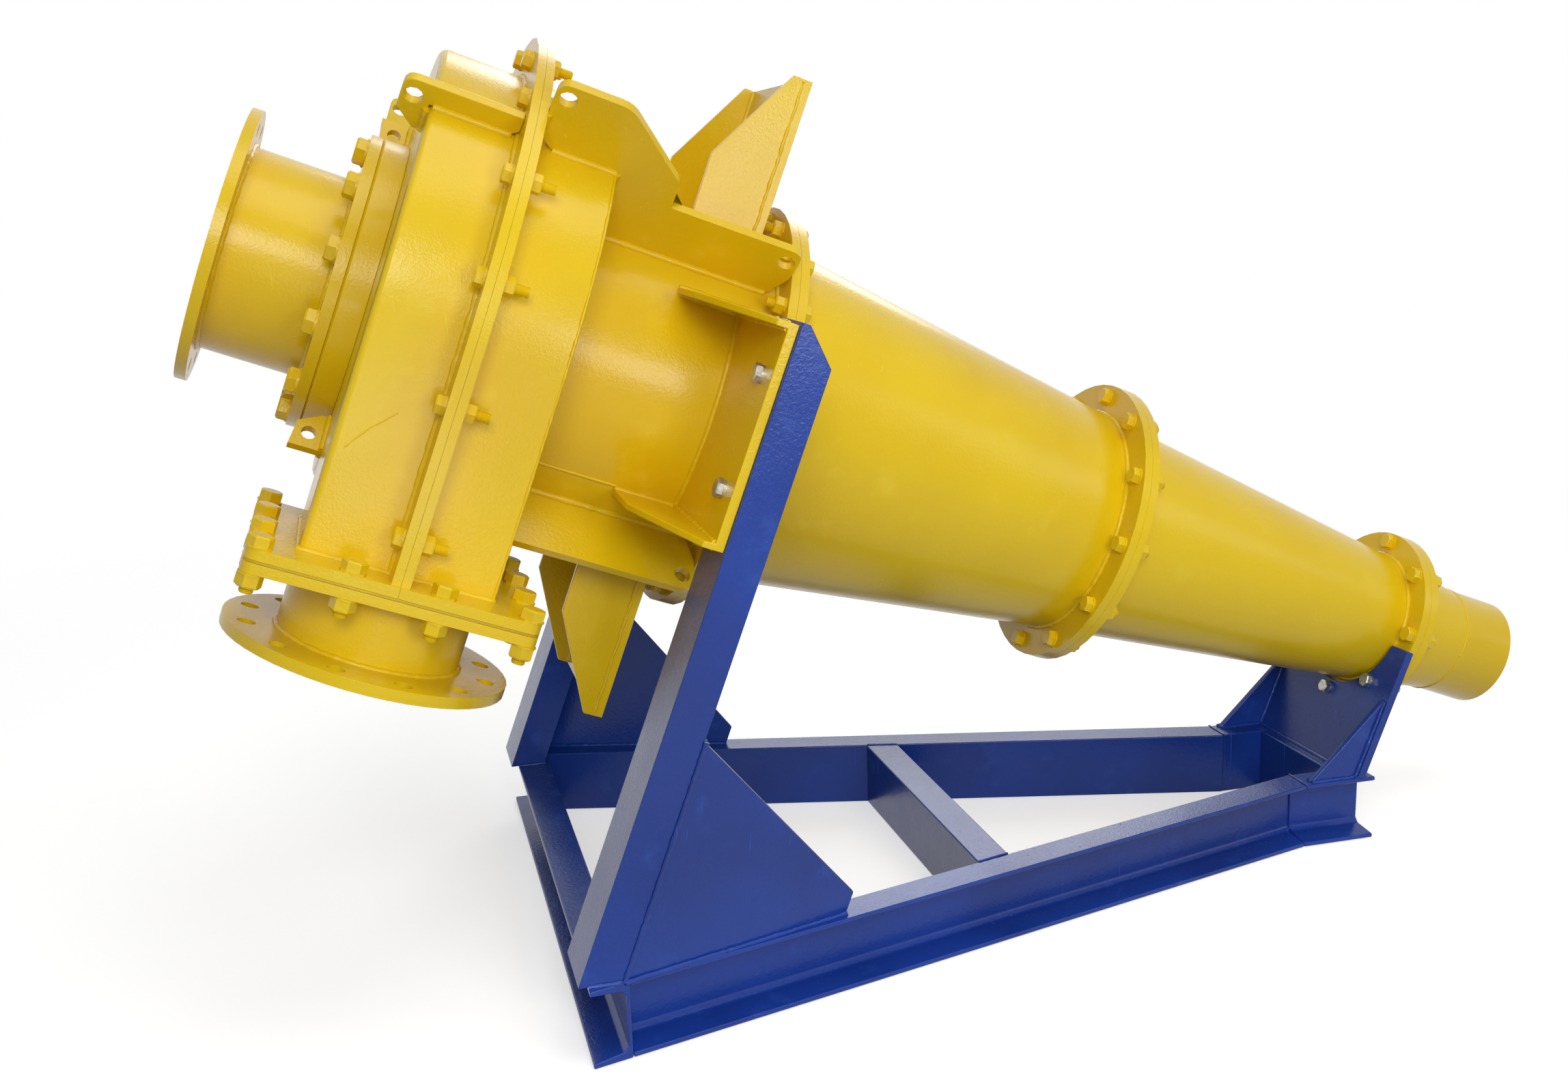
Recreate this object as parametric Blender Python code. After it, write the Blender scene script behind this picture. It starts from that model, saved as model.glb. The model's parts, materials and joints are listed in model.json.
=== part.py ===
# Hydrocyclone on a welded channel stand.
# The cyclone is modelled standing upright in its own frame and then leaned over:
# its local Z runs up its axis with zero at the overflow face, local X ends on top once it leans,
# and local -Y is the front, where the feed pipe hangs. A station is a distance down the axis.
# All lengths are in metres.
import math

import bmesh
import bpy
from mathutils import Vector

# Clearances
FIT_GAP = 0.0003
OVERRUN = 0.004
MERGE_SHARE = 0.01

# Roundness of turned pieces and holes
TURN_STEPS = 48
HOLE_STEPS = 10
HOLE_START = math.radians(4)
QUARTER_STEPS = 10
LAST_QUARTER = 3
CORNER_STEPS = 4
SEAT_STEPS = 16
SMOOTH_ANGLE = math.radians(25)

# Pose of the cyclone on its stand: how it leans, and how high its axis passes over the beams at the saddle
AXIS_LEAN = math.radians(21.14)
AXIS_RISE = 0.21353690

# Plate and rubber thickness
SHELL_WALL = 0.008
RUBBER_WALL = 0.012

# Overflow pipe, its flange and the plate that bolts it to the cover ring
OVERFLOW_LENGTH = 0.159
OVERFLOW_FLANGE_RADIUS = 0.1775
OVERFLOW_FLANGE_THICKNESS = 0.014
OVERFLOW_CIRCLE_RADIUS = 0.157
OVERFLOW_HOLES = 12
OVERFLOW_HOLE_RADIUS = 0.009
OVERFLOW_PIPE_RADIUS = 0.132
OVERFLOW_PIPE_WALL = 0.007
OVERFLOW_RUBBER = 0.006
ADAPTER_RADIUS = 0.195
ADAPTER_THICKNESS = 0.0145
ADAPTER_CIRCLE_RADIUS = 0.175
ADAPTER_BOLTS = 12

# Cover ring and vortex finder
RING_THICKNESS = 0.0337
RING_EDGE = 0.003
FINDER_FLANGE_RADIUS = 0.155
FINDER_FLANGE_THICKNESS = 0.012
FINDER_RADIUS = 0.090
FINDER_BORE = 0.075
FINDER_REACH = 0.300
FINDER_LIP = 0.008

# Scroll: spiral casing split across its middle, with the feed duct running down at the front
SCROLL_MARGIN = 0.0108
SCROLL_STEP = 0.025
UPPER_SCROLL_LENGTH = 0.1157
LOWER_SCROLL_LENGTH = 0.111
ROOF_THICKNESS = 0.010
ROOF_EDGE = 0.008
ROOF_EDGE_STEP = 0.0027
DUCT_WIDTH = 0.190
DUCT_REACH = 0.280
LIP_WIDTH = 0.052
LIP_THICKNESS = 0.0105
LIP_FOOT_DEPTH = 0.0042
LIP_BOLT_LEVELS = (0.232, 0.074)
LIP_BOLT_FIRST = math.radians(12)
LIP_BOLT_TURN = math.radians(21)

# Feed flanges, gasket and pipe
FEED_PLATE_LIP = 0.055
FEED_PLATE_SIDE_LIP = 0.058
FEED_PLATE_THICKNESS = 0.0125
FEED_PLATE_CORNER = 0.015
FEED_CORNER_STEPS = 3
FEED_BOLT_INSET = 0.014
FEED_BOLTS_A_SIDE = 4
GASKET_THICKNESS = 0.0028
FEED_PIPE_RADIUS = 0.1104
FEED_PIPE_WALL = 0.007
FEED_RUBBER = 0.006
FEED_REACH = 0.1073
FEED_FLANGE_RADIUS = 0.1725
FEED_FLANGE_THICKNESS = 0.014
FEED_CIRCLE_RADIUS = 0.1475
FEED_HOLES = 12
FEED_HOLE_RADIUS = 0.011
FEED_MOUTH_POWER = 5.0
FEED_ROUND_POWER = 2.0
FEED_LINER_STAGES = 6

# Barrel and head flange
BARREL_RADIUS = 0.2392
BARREL_LENGTH = 0.268
HEAD_FLANGE_WIDTH = 0.0451
HEAD_FLANGE_THICKNESS = 0.012
HEAD_CIRCLE_OFFSET = 0.0248
HEAD_BOLTS = 20

# Cones
UPPER_CONE_LENGTH = 0.578
UPPER_CONE_END_RADIUS = 0.1672
MID_FLANGE_RADIUS = 0.2112
MID_FLANGE_THICKNESS = 0.012
MID_CIRCLE_RADIUS = 0.1925
MID_BOLTS = 12
LOWER_CONE_LENGTH = 0.5597
LOWER_CONE_START_RADIUS = 0.1650
LOWER_CONE_END_RADIUS = 0.1040
LOW_FLANGE_RADIUS = 0.1401
LOW_FLANGE_THICKNESS = 0.013
LOW_CIRCLE_RADIUS = 0.1260
LOW_BOLTS = 8

# Spigot housing: a short cone and the outlet pipe
SPIGOT_CONE_LENGTH = 0.125
SPIGOT_START_RADIUS = 0.1010
SPIGOT_RADIUS = 0.0836
SPIGOT_PIPE_LENGTH = 0.088
SPIGOT_BORE = 0.060

# Lifting ears on the roof
EAR_ANGLES = (math.radians(140), math.radians(-30))
EAR_SPACE = 0.011
EAR_WIDTH = 0.051
EAR_REACH = 0.0413
EAR_NOSE = 0.004
EAR_SLOPE_LENGTH = 0.032
EAR_SLOPE_DEPTH = 0.016
EAR_THICKNESS = 0.012
EAR_HOLE_RADIUS = 0.0095

# Lug plates, welded along the scroll and the barrel in planes through the axis
LUG_ANGLE = math.radians(45)
LUG_THICKNESS = 0.012
LUG_HOLE_RADIUS = 0.011
LUG_CORNER = 0.015
LUG_RELIEF = 0.018
LUG_RELIEF_REACH = 0.036
ROOF_LUG_WIDTH = 0.022
ROOF_LUG_OVERHANG = 0.035
ROOF_LUG_CUT = 0.0235
ROOF_LUG_DROP = 0.041
HIGH_LUG_WIDTH = 0.090
HIGH_LUG_LENGTH = 0.088
HIGH_LUG_HOLE_INSET = 0.0195
LOW_LUG_WIDTH = 0.0818
LOW_LUG_HOLE_INSET = 0.021
LUG_SLOPE_RUN = 0.085
LUG_SLOPE_RISE = 0.017
LIP_END_SPACE = 0.003

# Mounting brackets round the barrel
BRACKETS = 4
BRACKET_DEPTH = 0.1988
BRACKET_HALF_WIDTH = 0.1364
BRACKET_LENGTH = 0.096
BRACKET_FLAT = 0.026
BRACKET_SHOULDER_DEPTH = 0.0728
BRACKET_PLATE = 0.008
BRACKET_END_PLATE = 0.012
BRACKET_FLANGE_SPACE = 0.0365
BRACKET_BOLT_SPACING = 0.140
BRACKET_BOLT_DEPTH = 0.1558

# Stand: one channel section throughout, measured from the overflow face along the floor
CHANNEL_HEIGHT = 0.100
CHANNEL_WIDTH = 0.050
CHANNEL_WEB = 0.0053
CHANNEL_TOE = 0.0065
CHANNEL_ROOT = 0.0105
STAND_LEFT = 0.363
UPRIGHT_LEDGE = 0.012
STAND_BEND = 1.508
STAND_RIGHT = 1.627
STAND_RIGHT_HALF_WIDTH = 0.1485
STAND_MIDDLE = 0.931
UPRIGHT_TOP = 0.141
UPRIGHT_FLAT = 0.010
UPRIGHT_GUSSET_HEIGHT = 0.308
UPRIGHT_GUSSET_LENGTH = 0.306
UPRIGHT_GUSSET_END = 0.030
UPRIGHT_GUSSET_INSET = 0.014
GUSSET_THICKNESS = 0.010
SADDLE_THICKNESS = 0.012
SADDLE_HALF_WIDTH = 0.148
SADDLE_TOP = 0.024
SADDLE_CUTOUT_RADIUS = 0.1125
SADDLE_GUSSET_START = 1.519
SADDLE_GUSSET_TOP = 0.105
SADDLE_GUSSET_INSET = 0.007

# Bolts, and the holes for them and for the larger size
HEXAGON_SIDES = 6
BOLT_RADIUS = 0.006
BOLT_FLATS_RADIUS = 0.0095
BOLT_HEAD = 0.0075
BOLT_NUT = 0.010
BOLT_TAIL = 0.008
BOLT_HOLE_RADIUS = 0.007
ADAPTER_HOLE_RADIUS = 0.009

# Stations down the axis, each worked out from the piece before it
ring_top = OVERFLOW_LENGTH + FIT_GAP
ring_end = ring_top + RING_THICKNESS
roof_top = ring_end + FIT_GAP
split = roof_top + UPPER_SCROLL_LENGTH
lower_top = split + FIT_GAP
floor_end = lower_top + LOWER_SCROLL_LENGTH
barrel_end = floor_end + BARREL_LENGTH
upper_cone_top = barrel_end + FIT_GAP
upper_cone_end = upper_cone_top + UPPER_CONE_LENGTH
lower_cone_top = upper_cone_end + FIT_GAP
lower_cone_end = lower_cone_top + LOWER_CONE_LENGTH
spigot_top = lower_cone_end + FIT_GAP
spigot_cone_end = spigot_top + SPIGOT_CONE_LENGTH
spigot_end = spigot_cone_end + SPIGOT_PIPE_LENGTH
bracket_end = barrel_end - HEAD_FLANGE_THICKNESS - BRACKET_FLANGE_SPACE
saddle_end = lower_cone_end - LOW_FLANGE_THICKNESS - FIT_GAP
saddle_top = saddle_end - SADDLE_THICKNESS

# What stands on the barrel or the scroll follows their radii
scroll_front = BARREL_RADIUS + SCROLL_MARGIN + (LAST_QUARTER + 1) * SCROLL_STEP
duct_rear = scroll_front - DUCT_WIDTH
head_flange_radius = BARREL_RADIUS + HEAD_FLANGE_WIDTH
head_circle_radius = BARREL_RADIUS + HEAD_CIRCLE_OFFSET
ear_inner_radius = ADAPTER_RADIUS + EAR_SPACE
ear_outer_radius = ear_inner_radius + EAR_WIDTH
roof_lug_radius = scroll_front + ROOF_LUG_WIDTH
high_lug_radius = scroll_front + HIGH_LUG_WIDTH
low_lug_radius = BARREL_RADIUS + LOW_LUG_WIDTH
bracket_reach = BARREL_RADIUS + BRACKET_DEPTH
bracket_shoulder = BARREL_RADIUS + BRACKET_SHOULDER_DEPTH
bracket_bolt_side = BARREL_RADIUS + BRACKET_BOLT_DEPTH
upright_side = bracket_bolt_side + CHANNEL_HEIGHT / 2
stand_left_half_width = upright_side + UPRIGHT_LEDGE

# The duct and its plates share one centre
duct_top = roof_top + ROOF_THICKNESS
duct_bottom = floor_end - ROOF_THICKNESS
feed_station = (roof_top + floor_end) / 2
feed_side = -(scroll_front + duct_rear) / 2
feed_plate_half_length = (floor_end - roof_top) / 2 + FEED_PLATE_LIP
feed_plate_half_depth = (scroll_front - duct_rear) / 2 + FEED_PLATE_SIDE_LIP
gasket_top = DUCT_REACH + FEED_PLATE_THICKNESS + FIT_GAP
adapter_top = gasket_top + GASKET_THICKNESS + FIT_GAP
feed_face = adapter_top + FEED_REACH

# Floor plan of the object
lean_sin = math.sin(AXIS_LEAN)
lean_cos = math.cos(AXIS_LEAN)
axis_height = CHANNEL_HEIGHT + AXIS_RISE + saddle_end * lean_sin
plan_start = -OVERFLOW_FLANGE_RADIUS * lean_sin
plan_end = spigot_end * lean_cos + SPIGOT_RADIUS * lean_sin
plan_middle = (plan_start + plan_end) / 2

FINISHES = {
    "yellow": ((0.83, 0.56, 0.02, 1.0), 0.28, 0.0),
    "blue": ((0.015, 0.045, 0.28, 1.0), 0.32, 0.0),
    "rubber": ((0.02, 0.02, 0.022, 1.0), 0.7, 0.0),
    "zinc": ((0.55, 0.56, 0.55, 1.0), 0.35, 1.0),
}


# Building blocks


def clear_scene():
    for obj in list(bpy.data.objects):
        bpy.data.objects.remove(obj, do_unlink=True)


def finish_for(name, finish):
    colour, roughness, metallic = FINISHES[finish]
    material = bpy.data.materials.new(f"{name}_{finish}")
    material.use_nodes = True
    shader = material.node_tree.nodes["Principled BSDF"]
    shader.inputs["Base Color"].default_value = colour
    shader.inputs["Roughness"].default_value = roughness
    shader.inputs["Metallic"].default_value = metallic
    return material


def body_from(bm, name):
    bmesh.ops.remove_doubles(bm, verts=bm.verts, dist=FIT_GAP * MERGE_SHARE)
    bmesh.ops.recalc_face_normals(bm, faces=bm.faces)
    mesh = bpy.data.meshes.new(name)
    bm.to_mesh(mesh)
    bm.free()
    obj = bpy.data.objects.new(name, mesh)
    bpy.context.scene.collection.objects.link(obj)
    return obj


def at(station, up, side):
    return Vector((up, side, -station))


def circle(radius, station, steps=TURN_STEPS, up=0, side=0):
    turns = [2 * math.pi * step / steps for step in range(steps)]
    return [at(station, up + radius * math.cos(turn), side - radius * math.sin(turn)) for turn in turns]


def radial(station, radius, angle, shift=0):
    # A point in the plane through the axis at this angle from the top, moved sideways by shift
    up = radius * math.cos(angle) + shift * math.sin(angle)
    side = -radius * math.sin(angle) + shift * math.cos(angle)
    return at(station, up, side)


def loft(name, rings):
    # Rings of equal point counts, joined in order and closed at both ends
    bm = bmesh.new()
    loops = [[bm.verts.new(point) for point in ring] for ring in rings]
    for first, second in zip(loops, loops[1:]):
        for index, vertex in enumerate(first):
            follower = (index + 1) % len(first)
            bm.faces.new((vertex, first[follower], second[follower], second[index]))
    bm.faces.new(loops[0])
    bm.faces.new(loops[-1])
    return body_from(bm, name)


def turned(name, profile):
    # A closed profile of (radius, station) pairs that stays off the axis, spun round it
    bm = bmesh.new()
    corners = [bm.verts.new((radius, 0, -station)) for radius, station in profile]
    edges = [bm.edges.new((corners[index - 1], corner)) for index, corner in enumerate(corners)]
    bmesh.ops.spin(
        bm,
        geom=corners + edges,
        cent=(0, 0, 0),
        axis=(0, 0, 1),
        angle=2 * math.pi,
        steps=TURN_STEPS,
        use_merge=True,
    )
    return body_from(bm, name)


def joined(name, bodies):
    # One tool made of several separate solids
    bm = bmesh.new()
    for body in bodies:
        bm.from_mesh(body.data)
        bpy.data.objects.remove(body, do_unlink=True)
    return body_from(bm, name)


def combine(body, tool, operation):
    modifier = body.modifiers.new(operation, "BOOLEAN")
    modifier.operation = operation
    modifier.solver = "EXACT"
    modifier.object = tool
    graph = bpy.context.evaluated_depsgraph_get()
    result = bpy.data.meshes.new_from_object(body.evaluated_get(graph))
    body.modifiers.clear()
    body.data = result
    bpy.data.objects.remove(tool, do_unlink=True)
    return body


def fuse(body, tool):
    return combine(body, tool, "UNION")


def cut(body, tool):
    return combine(body, tool, "DIFFERENCE")


def settle(obj, finish, parent):
    obj.data.materials.clear()
    obj.data.materials.append(finish_for(obj.name, finish))
    obj.data.shade_smooth()
    obj.data.set_sharp_from_angle(angle=SMOOTH_ANGLE)
    obj.parent = parent
    return obj


def copy_of(obj, name, finish, parent, turn):
    copy = bpy.data.objects.new(name, obj.data.copy())
    bpy.context.scene.collection.objects.link(copy)
    copy.rotation_euler.z = turn
    return settle(copy, finish, parent)


def rod(radius, start, end, steps=HOLE_STEPS):
    # A round bar between two points
    along = (end - start).normalized()
    across = along.orthogonal().normalized()
    beside = along.cross(across)
    rings = []
    for middle in (start, end):
        turns = [HOLE_START + 2 * math.pi * step / steps for step in range(steps)]
        rings.append([middle + radius * (math.cos(turn) * across + math.sin(turn) * beside) for turn in turns])
    return loft("rod", rings)


def axial_holes(points, radius, start, end):
    rods = [
        rod(radius, at(start - OVERRUN, up, side), at(end + OVERRUN, up, side))
        for up, side in points
    ]
    return joined("holes", rods)


def bolt_circle(count, radius, first=0.0):
    turns = [first + 2 * math.pi * step / count for step in range(count)]
    return [(radius * math.cos(turn), -radius * math.sin(turn)) for turn in turns]


def hex_bolt(name, head_seat, nut_seat):
    # Head against head_seat, nut against nut_seat, and the thread's end past the nut
    along = (nut_seat - head_seat).normalized()
    across = along.orthogonal().normalized()
    beside = along.cross(across)

    def ring(middle, size, is_hexagon):
        points = []
        for step in range(2 * HEXAGON_SIDES):
            turn = math.pi * step / HEXAGON_SIDES
            reach = size
            if is_hexagon and step % 2:
                reach = size / math.cos(math.pi / HEXAGON_SIDES)
            points.append(middle + reach * (math.cos(turn) * across + math.sin(turn) * beside))
        return points

    head = head_seat - along * FIT_GAP
    nut = nut_seat + along * FIT_GAP
    return loft(
        name,
        [
            ring(head - along * BOLT_HEAD, BOLT_FLATS_RADIUS, True),
            ring(head, BOLT_FLATS_RADIUS, True),
            ring(head, BOLT_RADIUS, False),
            ring(nut, BOLT_RADIUS, False),
            ring(nut, BOLT_FLATS_RADIUS, True),
            ring(nut + along * BOLT_NUT, BOLT_FLATS_RADIUS, True),
            ring(nut + along * BOLT_NUT, BOLT_RADIUS, False),
            ring(nut + along * (BOLT_NUT + BOLT_TAIL), BOLT_RADIUS, False),
        ],
    )


# Scroll outline


def scroll_arc(quarter):
    # Centre and radius of each quarter turn, starting at the front and going over the top and round the back
    side, up = ((-SCROLL_STEP, 0), (-SCROLL_STEP, SCROLL_STEP), (0, SCROLL_STEP), (0, 0))[quarter]
    return side, up, scroll_front - SCROLL_STEP * (quarter + 1)


def scroll_spot(turn, offset):
    # The (up, side) of the wall after this turn from the front
    side, up, radius = scroll_arc(min(int(turn // (math.pi / 2)), LAST_QUARTER))
    reach = radius + offset
    return up + reach * math.sin(turn), side - reach * math.cos(turn)


def scroll_turn(offset, rear):
    # The turn at which the last arc reaches the duct's rear wall
    side, up, radius = scroll_arc(LAST_QUARTER)
    return LAST_QUARTER * math.pi / 2 + math.asin((rear + side) / (radius + offset))


def scroll_outline(station, offset, mouth, rear=None):
    rear = duct_rear - offset if rear is None else rear
    quarter_turns = [math.pi / 2 * step / QUARTER_STEPS for step in range(LAST_QUARTER * QUARTER_STEPS)]
    last = scroll_turn(offset, rear)
    start = LAST_QUARTER * math.pi / 2
    last_turns = [start + (last - start) * step / QUARTER_STEPS for step in range(QUARTER_STEPS + 1)]
    points = [at(station, -mouth, -scroll_front - offset)]
    points += [at(station, *scroll_spot(turn, offset)) for turn in quarter_turns + last_turns]
    points.append(at(station, -mouth, -rear))
    return points


def scroll_reach(angle):
    # How far from the axis a radial lug plate clears the wall along both its faces
    side, up, radius = scroll_arc(int((math.pi / 2 - angle) // (math.pi / 2)))
    along = up * math.cos(angle) - side * math.sin(angle)
    across = up * math.sin(angle) + side * math.cos(angle)
    half = LUG_THICKNESS / 2
    return FIT_GAP + max(along + math.sqrt(radius**2 - (across - shift) ** 2) for shift in (-half, half))


def lip_rear():
    # The split lip passes just behind the feed plates
    return -feed_side - feed_plate_half_depth - LIP_END_SPACE


def lip_bolts():
    # Along the middle of the split lip: up the duct's front wall, then evenly round the scroll
    middle = LIP_WIDTH / 2
    places = [(-level, -scroll_front - middle) for level in LIP_BOLT_LEVELS]
    last = scroll_turn(middle, lip_rear())
    turn = LIP_BOLT_FIRST
    while turn < last:
        places.append(scroll_spot(turn, middle))
        turn += LIP_BOLT_TURN
    return places


def feed_plate(name, top, bottom):
    # A plate with rounded corners across the duct, between two depths below the axis
    rings = []
    for depth in (top, bottom):
        ring = []
        for quarter in range(4):
            along = 1 if quarter in (0, 3) else -1
            aside = 1 if quarter in (0, 1) else -1
            corner_station = feed_station + along * (feed_plate_half_length - FEED_PLATE_CORNER)
            corner_side = feed_side + aside * (feed_plate_half_depth - FEED_PLATE_CORNER)
            for step in range(FEED_CORNER_STEPS + 1):
                turn = math.pi / 2 * (quarter + step / FEED_CORNER_STEPS)
                ring.append(
                    at(
                        corner_station + FEED_PLATE_CORNER * math.cos(turn),
                        -depth,
                        corner_side + FEED_PLATE_CORNER * math.sin(turn),
                    )
                )
        rings.append(ring)
    return loft(name, rings)


def feed_bolts():
    half_length = feed_plate_half_length - FEED_BOLT_INSET
    half_depth = feed_plate_half_depth - FEED_BOLT_INSET
    places = []
    last = FEED_BOLTS_A_SIDE - 1
    for row in range(FEED_BOLTS_A_SIDE):
        for column in range(FEED_BOLTS_A_SIDE):
            if row in (0, last) or column in (0, last):
                along = feed_station - half_length + 2 * half_length * column / last
                aside = feed_side - half_depth + 2 * half_depth * row / last
                places.append((along, aside))
    return places


def feed_holes(top, bottom):
    rods = [
        rod(BOLT_HOLE_RADIUS, at(along, -top + OVERRUN, aside), at(along, -bottom - OVERRUN, aside))
        for along, aside in feed_bolts()
    ]
    return joined("feed_holes", rods)


def duct_passage(top, bottom, inset):
    # The rectangular passage of the duct, shrunk by inset from the inner face of its steel
    half_length = (duct_bottom - duct_top) / 2 - inset
    half_depth = (scroll_front - duct_rear) / 2 - SHELL_WALL - inset
    rings = []
    for depth in (top, bottom):
        corners = ((-1, -1), (1, -1), (1, 1), (-1, 1))
        rings.append(
            [
                at(feed_station + along * half_length, -depth, feed_side + aside * half_depth)
                for along, aside in corners
            ]
        )
    return loft("passage", rings)


# Cyclone pieces


def overflow_pipe():
    bore = OVERFLOW_PIPE_RADIUS - OVERFLOW_PIPE_WALL
    plate = OVERFLOW_LENGTH - ADAPTER_THICKNESS
    body = turned(
        "overflow_pipe",
        [
            (OVERFLOW_FLANGE_RADIUS, 0),
            (OVERFLOW_FLANGE_RADIUS, OVERFLOW_FLANGE_THICKNESS),
            (OVERFLOW_PIPE_RADIUS, OVERFLOW_FLANGE_THICKNESS),
            (OVERFLOW_PIPE_RADIUS, plate),
            (ADAPTER_RADIUS, plate),
            (ADAPTER_RADIUS, OVERFLOW_LENGTH),
            (bore, OVERFLOW_LENGTH),
            (bore, 0),
        ],
    )
    half_step = math.pi / OVERFLOW_HOLES
    open_holes = bolt_circle(OVERFLOW_HOLES, OVERFLOW_CIRCLE_RADIUS, half_step)
    cut(body, axial_holes(open_holes, OVERFLOW_HOLE_RADIUS, 0, OVERFLOW_FLANGE_THICKNESS))
    bolt_holes = bolt_circle(ADAPTER_BOLTS, ADAPTER_CIRCLE_RADIUS, math.pi / ADAPTER_BOLTS)
    return cut(body, axial_holes(bolt_holes, ADAPTER_HOLE_RADIUS, plate, OVERFLOW_LENGTH))


def overflow_liner():
    outer = OVERFLOW_PIPE_RADIUS - OVERFLOW_PIPE_WALL - FIT_GAP
    inner = outer - OVERFLOW_RUBBER
    return turned("overflow_liner", [(outer, 0), (outer, OVERFLOW_LENGTH), (inner, OVERFLOW_LENGTH), (inner, 0)])


def cover_ring():
    seat = ring_top + FINDER_FLANGE_THICKNESS + FIT_GAP
    body = turned(
        "cover_ring",
        [
            (ADAPTER_RADIUS - RING_EDGE, ring_top),
            (ADAPTER_RADIUS, ring_top + RING_EDGE),
            (ADAPTER_RADIUS, ring_end),
            (FINDER_RADIUS + FIT_GAP, ring_end),
            (FINDER_RADIUS + FIT_GAP, seat),
            (FINDER_FLANGE_RADIUS + FIT_GAP, seat),
            (FINDER_FLANGE_RADIUS + FIT_GAP, ring_top),
        ],
    )
    bolt_holes = bolt_circle(ADAPTER_BOLTS, ADAPTER_CIRCLE_RADIUS, math.pi / ADAPTER_BOLTS)
    return cut(body, axial_holes(bolt_holes, ADAPTER_HOLE_RADIUS, ring_top, ring_end))


def vortex_finder():
    shoulder = ring_top + FINDER_FLANGE_THICKNESS
    end = ring_top + FINDER_REACH
    return turned(
        "vortex_finder",
        [
            (FINDER_FLANGE_RADIUS, ring_top),
            (FINDER_FLANGE_RADIUS, shoulder),
            (FINDER_RADIUS, shoulder),
            (FINDER_RADIUS, end - FINDER_LIP),
            ((FINDER_RADIUS + FINDER_BORE) / 2, end),
            (FINDER_BORE, end),
            (FINDER_BORE, ring_top),
        ],
    )


def roof_ear(angle):
    reach = roof_top - EAR_REACH
    root = roof_top + ROOF_THICKNESS / 2
    outline = [
        (reach, ear_outer_radius),
        (root, ear_outer_radius),
        (root, ear_inner_radius),
        (reach + EAR_SLOPE_LENGTH, ear_inner_radius),
        (reach + EAR_NOSE, ear_inner_radius + EAR_SLOPE_DEPTH),
    ]
    ear = plate_in_plane("ear", outline, angle, EAR_THICKNESS)
    hole_radius = (ear_inner_radius + ear_outer_radius) / 2 + EAR_NOSE
    return cut(ear, plane_hole(reach + EAR_REACH / 2, hole_radius, angle, EAR_THICKNESS, EAR_HOLE_RADIUS))


def plate_in_plane(name, outline, angle, thickness):
    rings = [
        [radial(station, radius, angle, shift) for station, radius in outline]
        for shift in (-thickness / 2, thickness / 2)
    ]
    return loft(name, rings)


def plane_hole(station, radius, angle, thickness, size):
    reach = thickness / 2 + OVERRUN
    return rod(size, radial(station, radius, angle, -reach), radial(station, radius, angle, reach))


def scroll_cavity(start, end):
    return loft(
        "cavity",
        [scroll_outline(station, -SHELL_WALL, adapter_top) for station in (start, end)],
    )


def split_cutter(start, end):
    reach = scroll_front + LIP_WIDTH + FEED_PLATE_SIDE_LIP
    corners = ((-1, -1), (1, -1), (1, 1), (-1, 1))
    rings = [[at(station, up * reach, side * reach) for up, side in corners] for station in (start, end)]
    return loft("split_cutter", rings)


def scroll_lip(start, end):
    mouth = DUCT_REACH + LIP_FOOT_DEPTH
    return loft("lip", [scroll_outline(station, LIP_WIDTH, mouth, lip_rear()) for station in (start, end)])


def upper_scroll_shell():
    mouth = DUCT_REACH + FEED_PLATE_THICKNESS / 2
    body = loft(
        "upper_scroll_shell",
        [
            scroll_outline(roof_top, -ROOF_EDGE, mouth),
            scroll_outline(roof_top + ROOF_EDGE_STEP, -ROOF_EDGE_STEP, mouth),
            scroll_outline(roof_top + ROOF_EDGE, 0, mouth),
            scroll_outline(split - LIP_THICKNESS / 2, 0, mouth),
        ],
    )
    fuse(body, scroll_lip(split - LIP_THICKNESS, split + OVERRUN))
    fuse(body, feed_plate("plate", DUCT_REACH, DUCT_REACH + FEED_PLATE_THICKNESS))
    for angle in EAR_ANGLES:
        fuse(body, roof_ear(angle))
    cut(body, scroll_cavity(duct_top, split + LIP_THICKNESS))
    finder_hole = FINDER_RADIUS + FIT_GAP
    cut(body, loft("hole", [circle(finder_hole, station) for station in (roof_top - OVERRUN, duct_top + OVERRUN)]))
    cut(body, split_cutter(split, floor_end + FEED_PLATE_LIP + OVERRUN))
    cut(body, axial_holes(lip_bolts(), BOLT_HOLE_RADIUS, split - LIP_THICKNESS, split))
    return cut(body, feed_holes(DUCT_REACH, DUCT_REACH + FEED_PLATE_THICKNESS))


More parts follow.
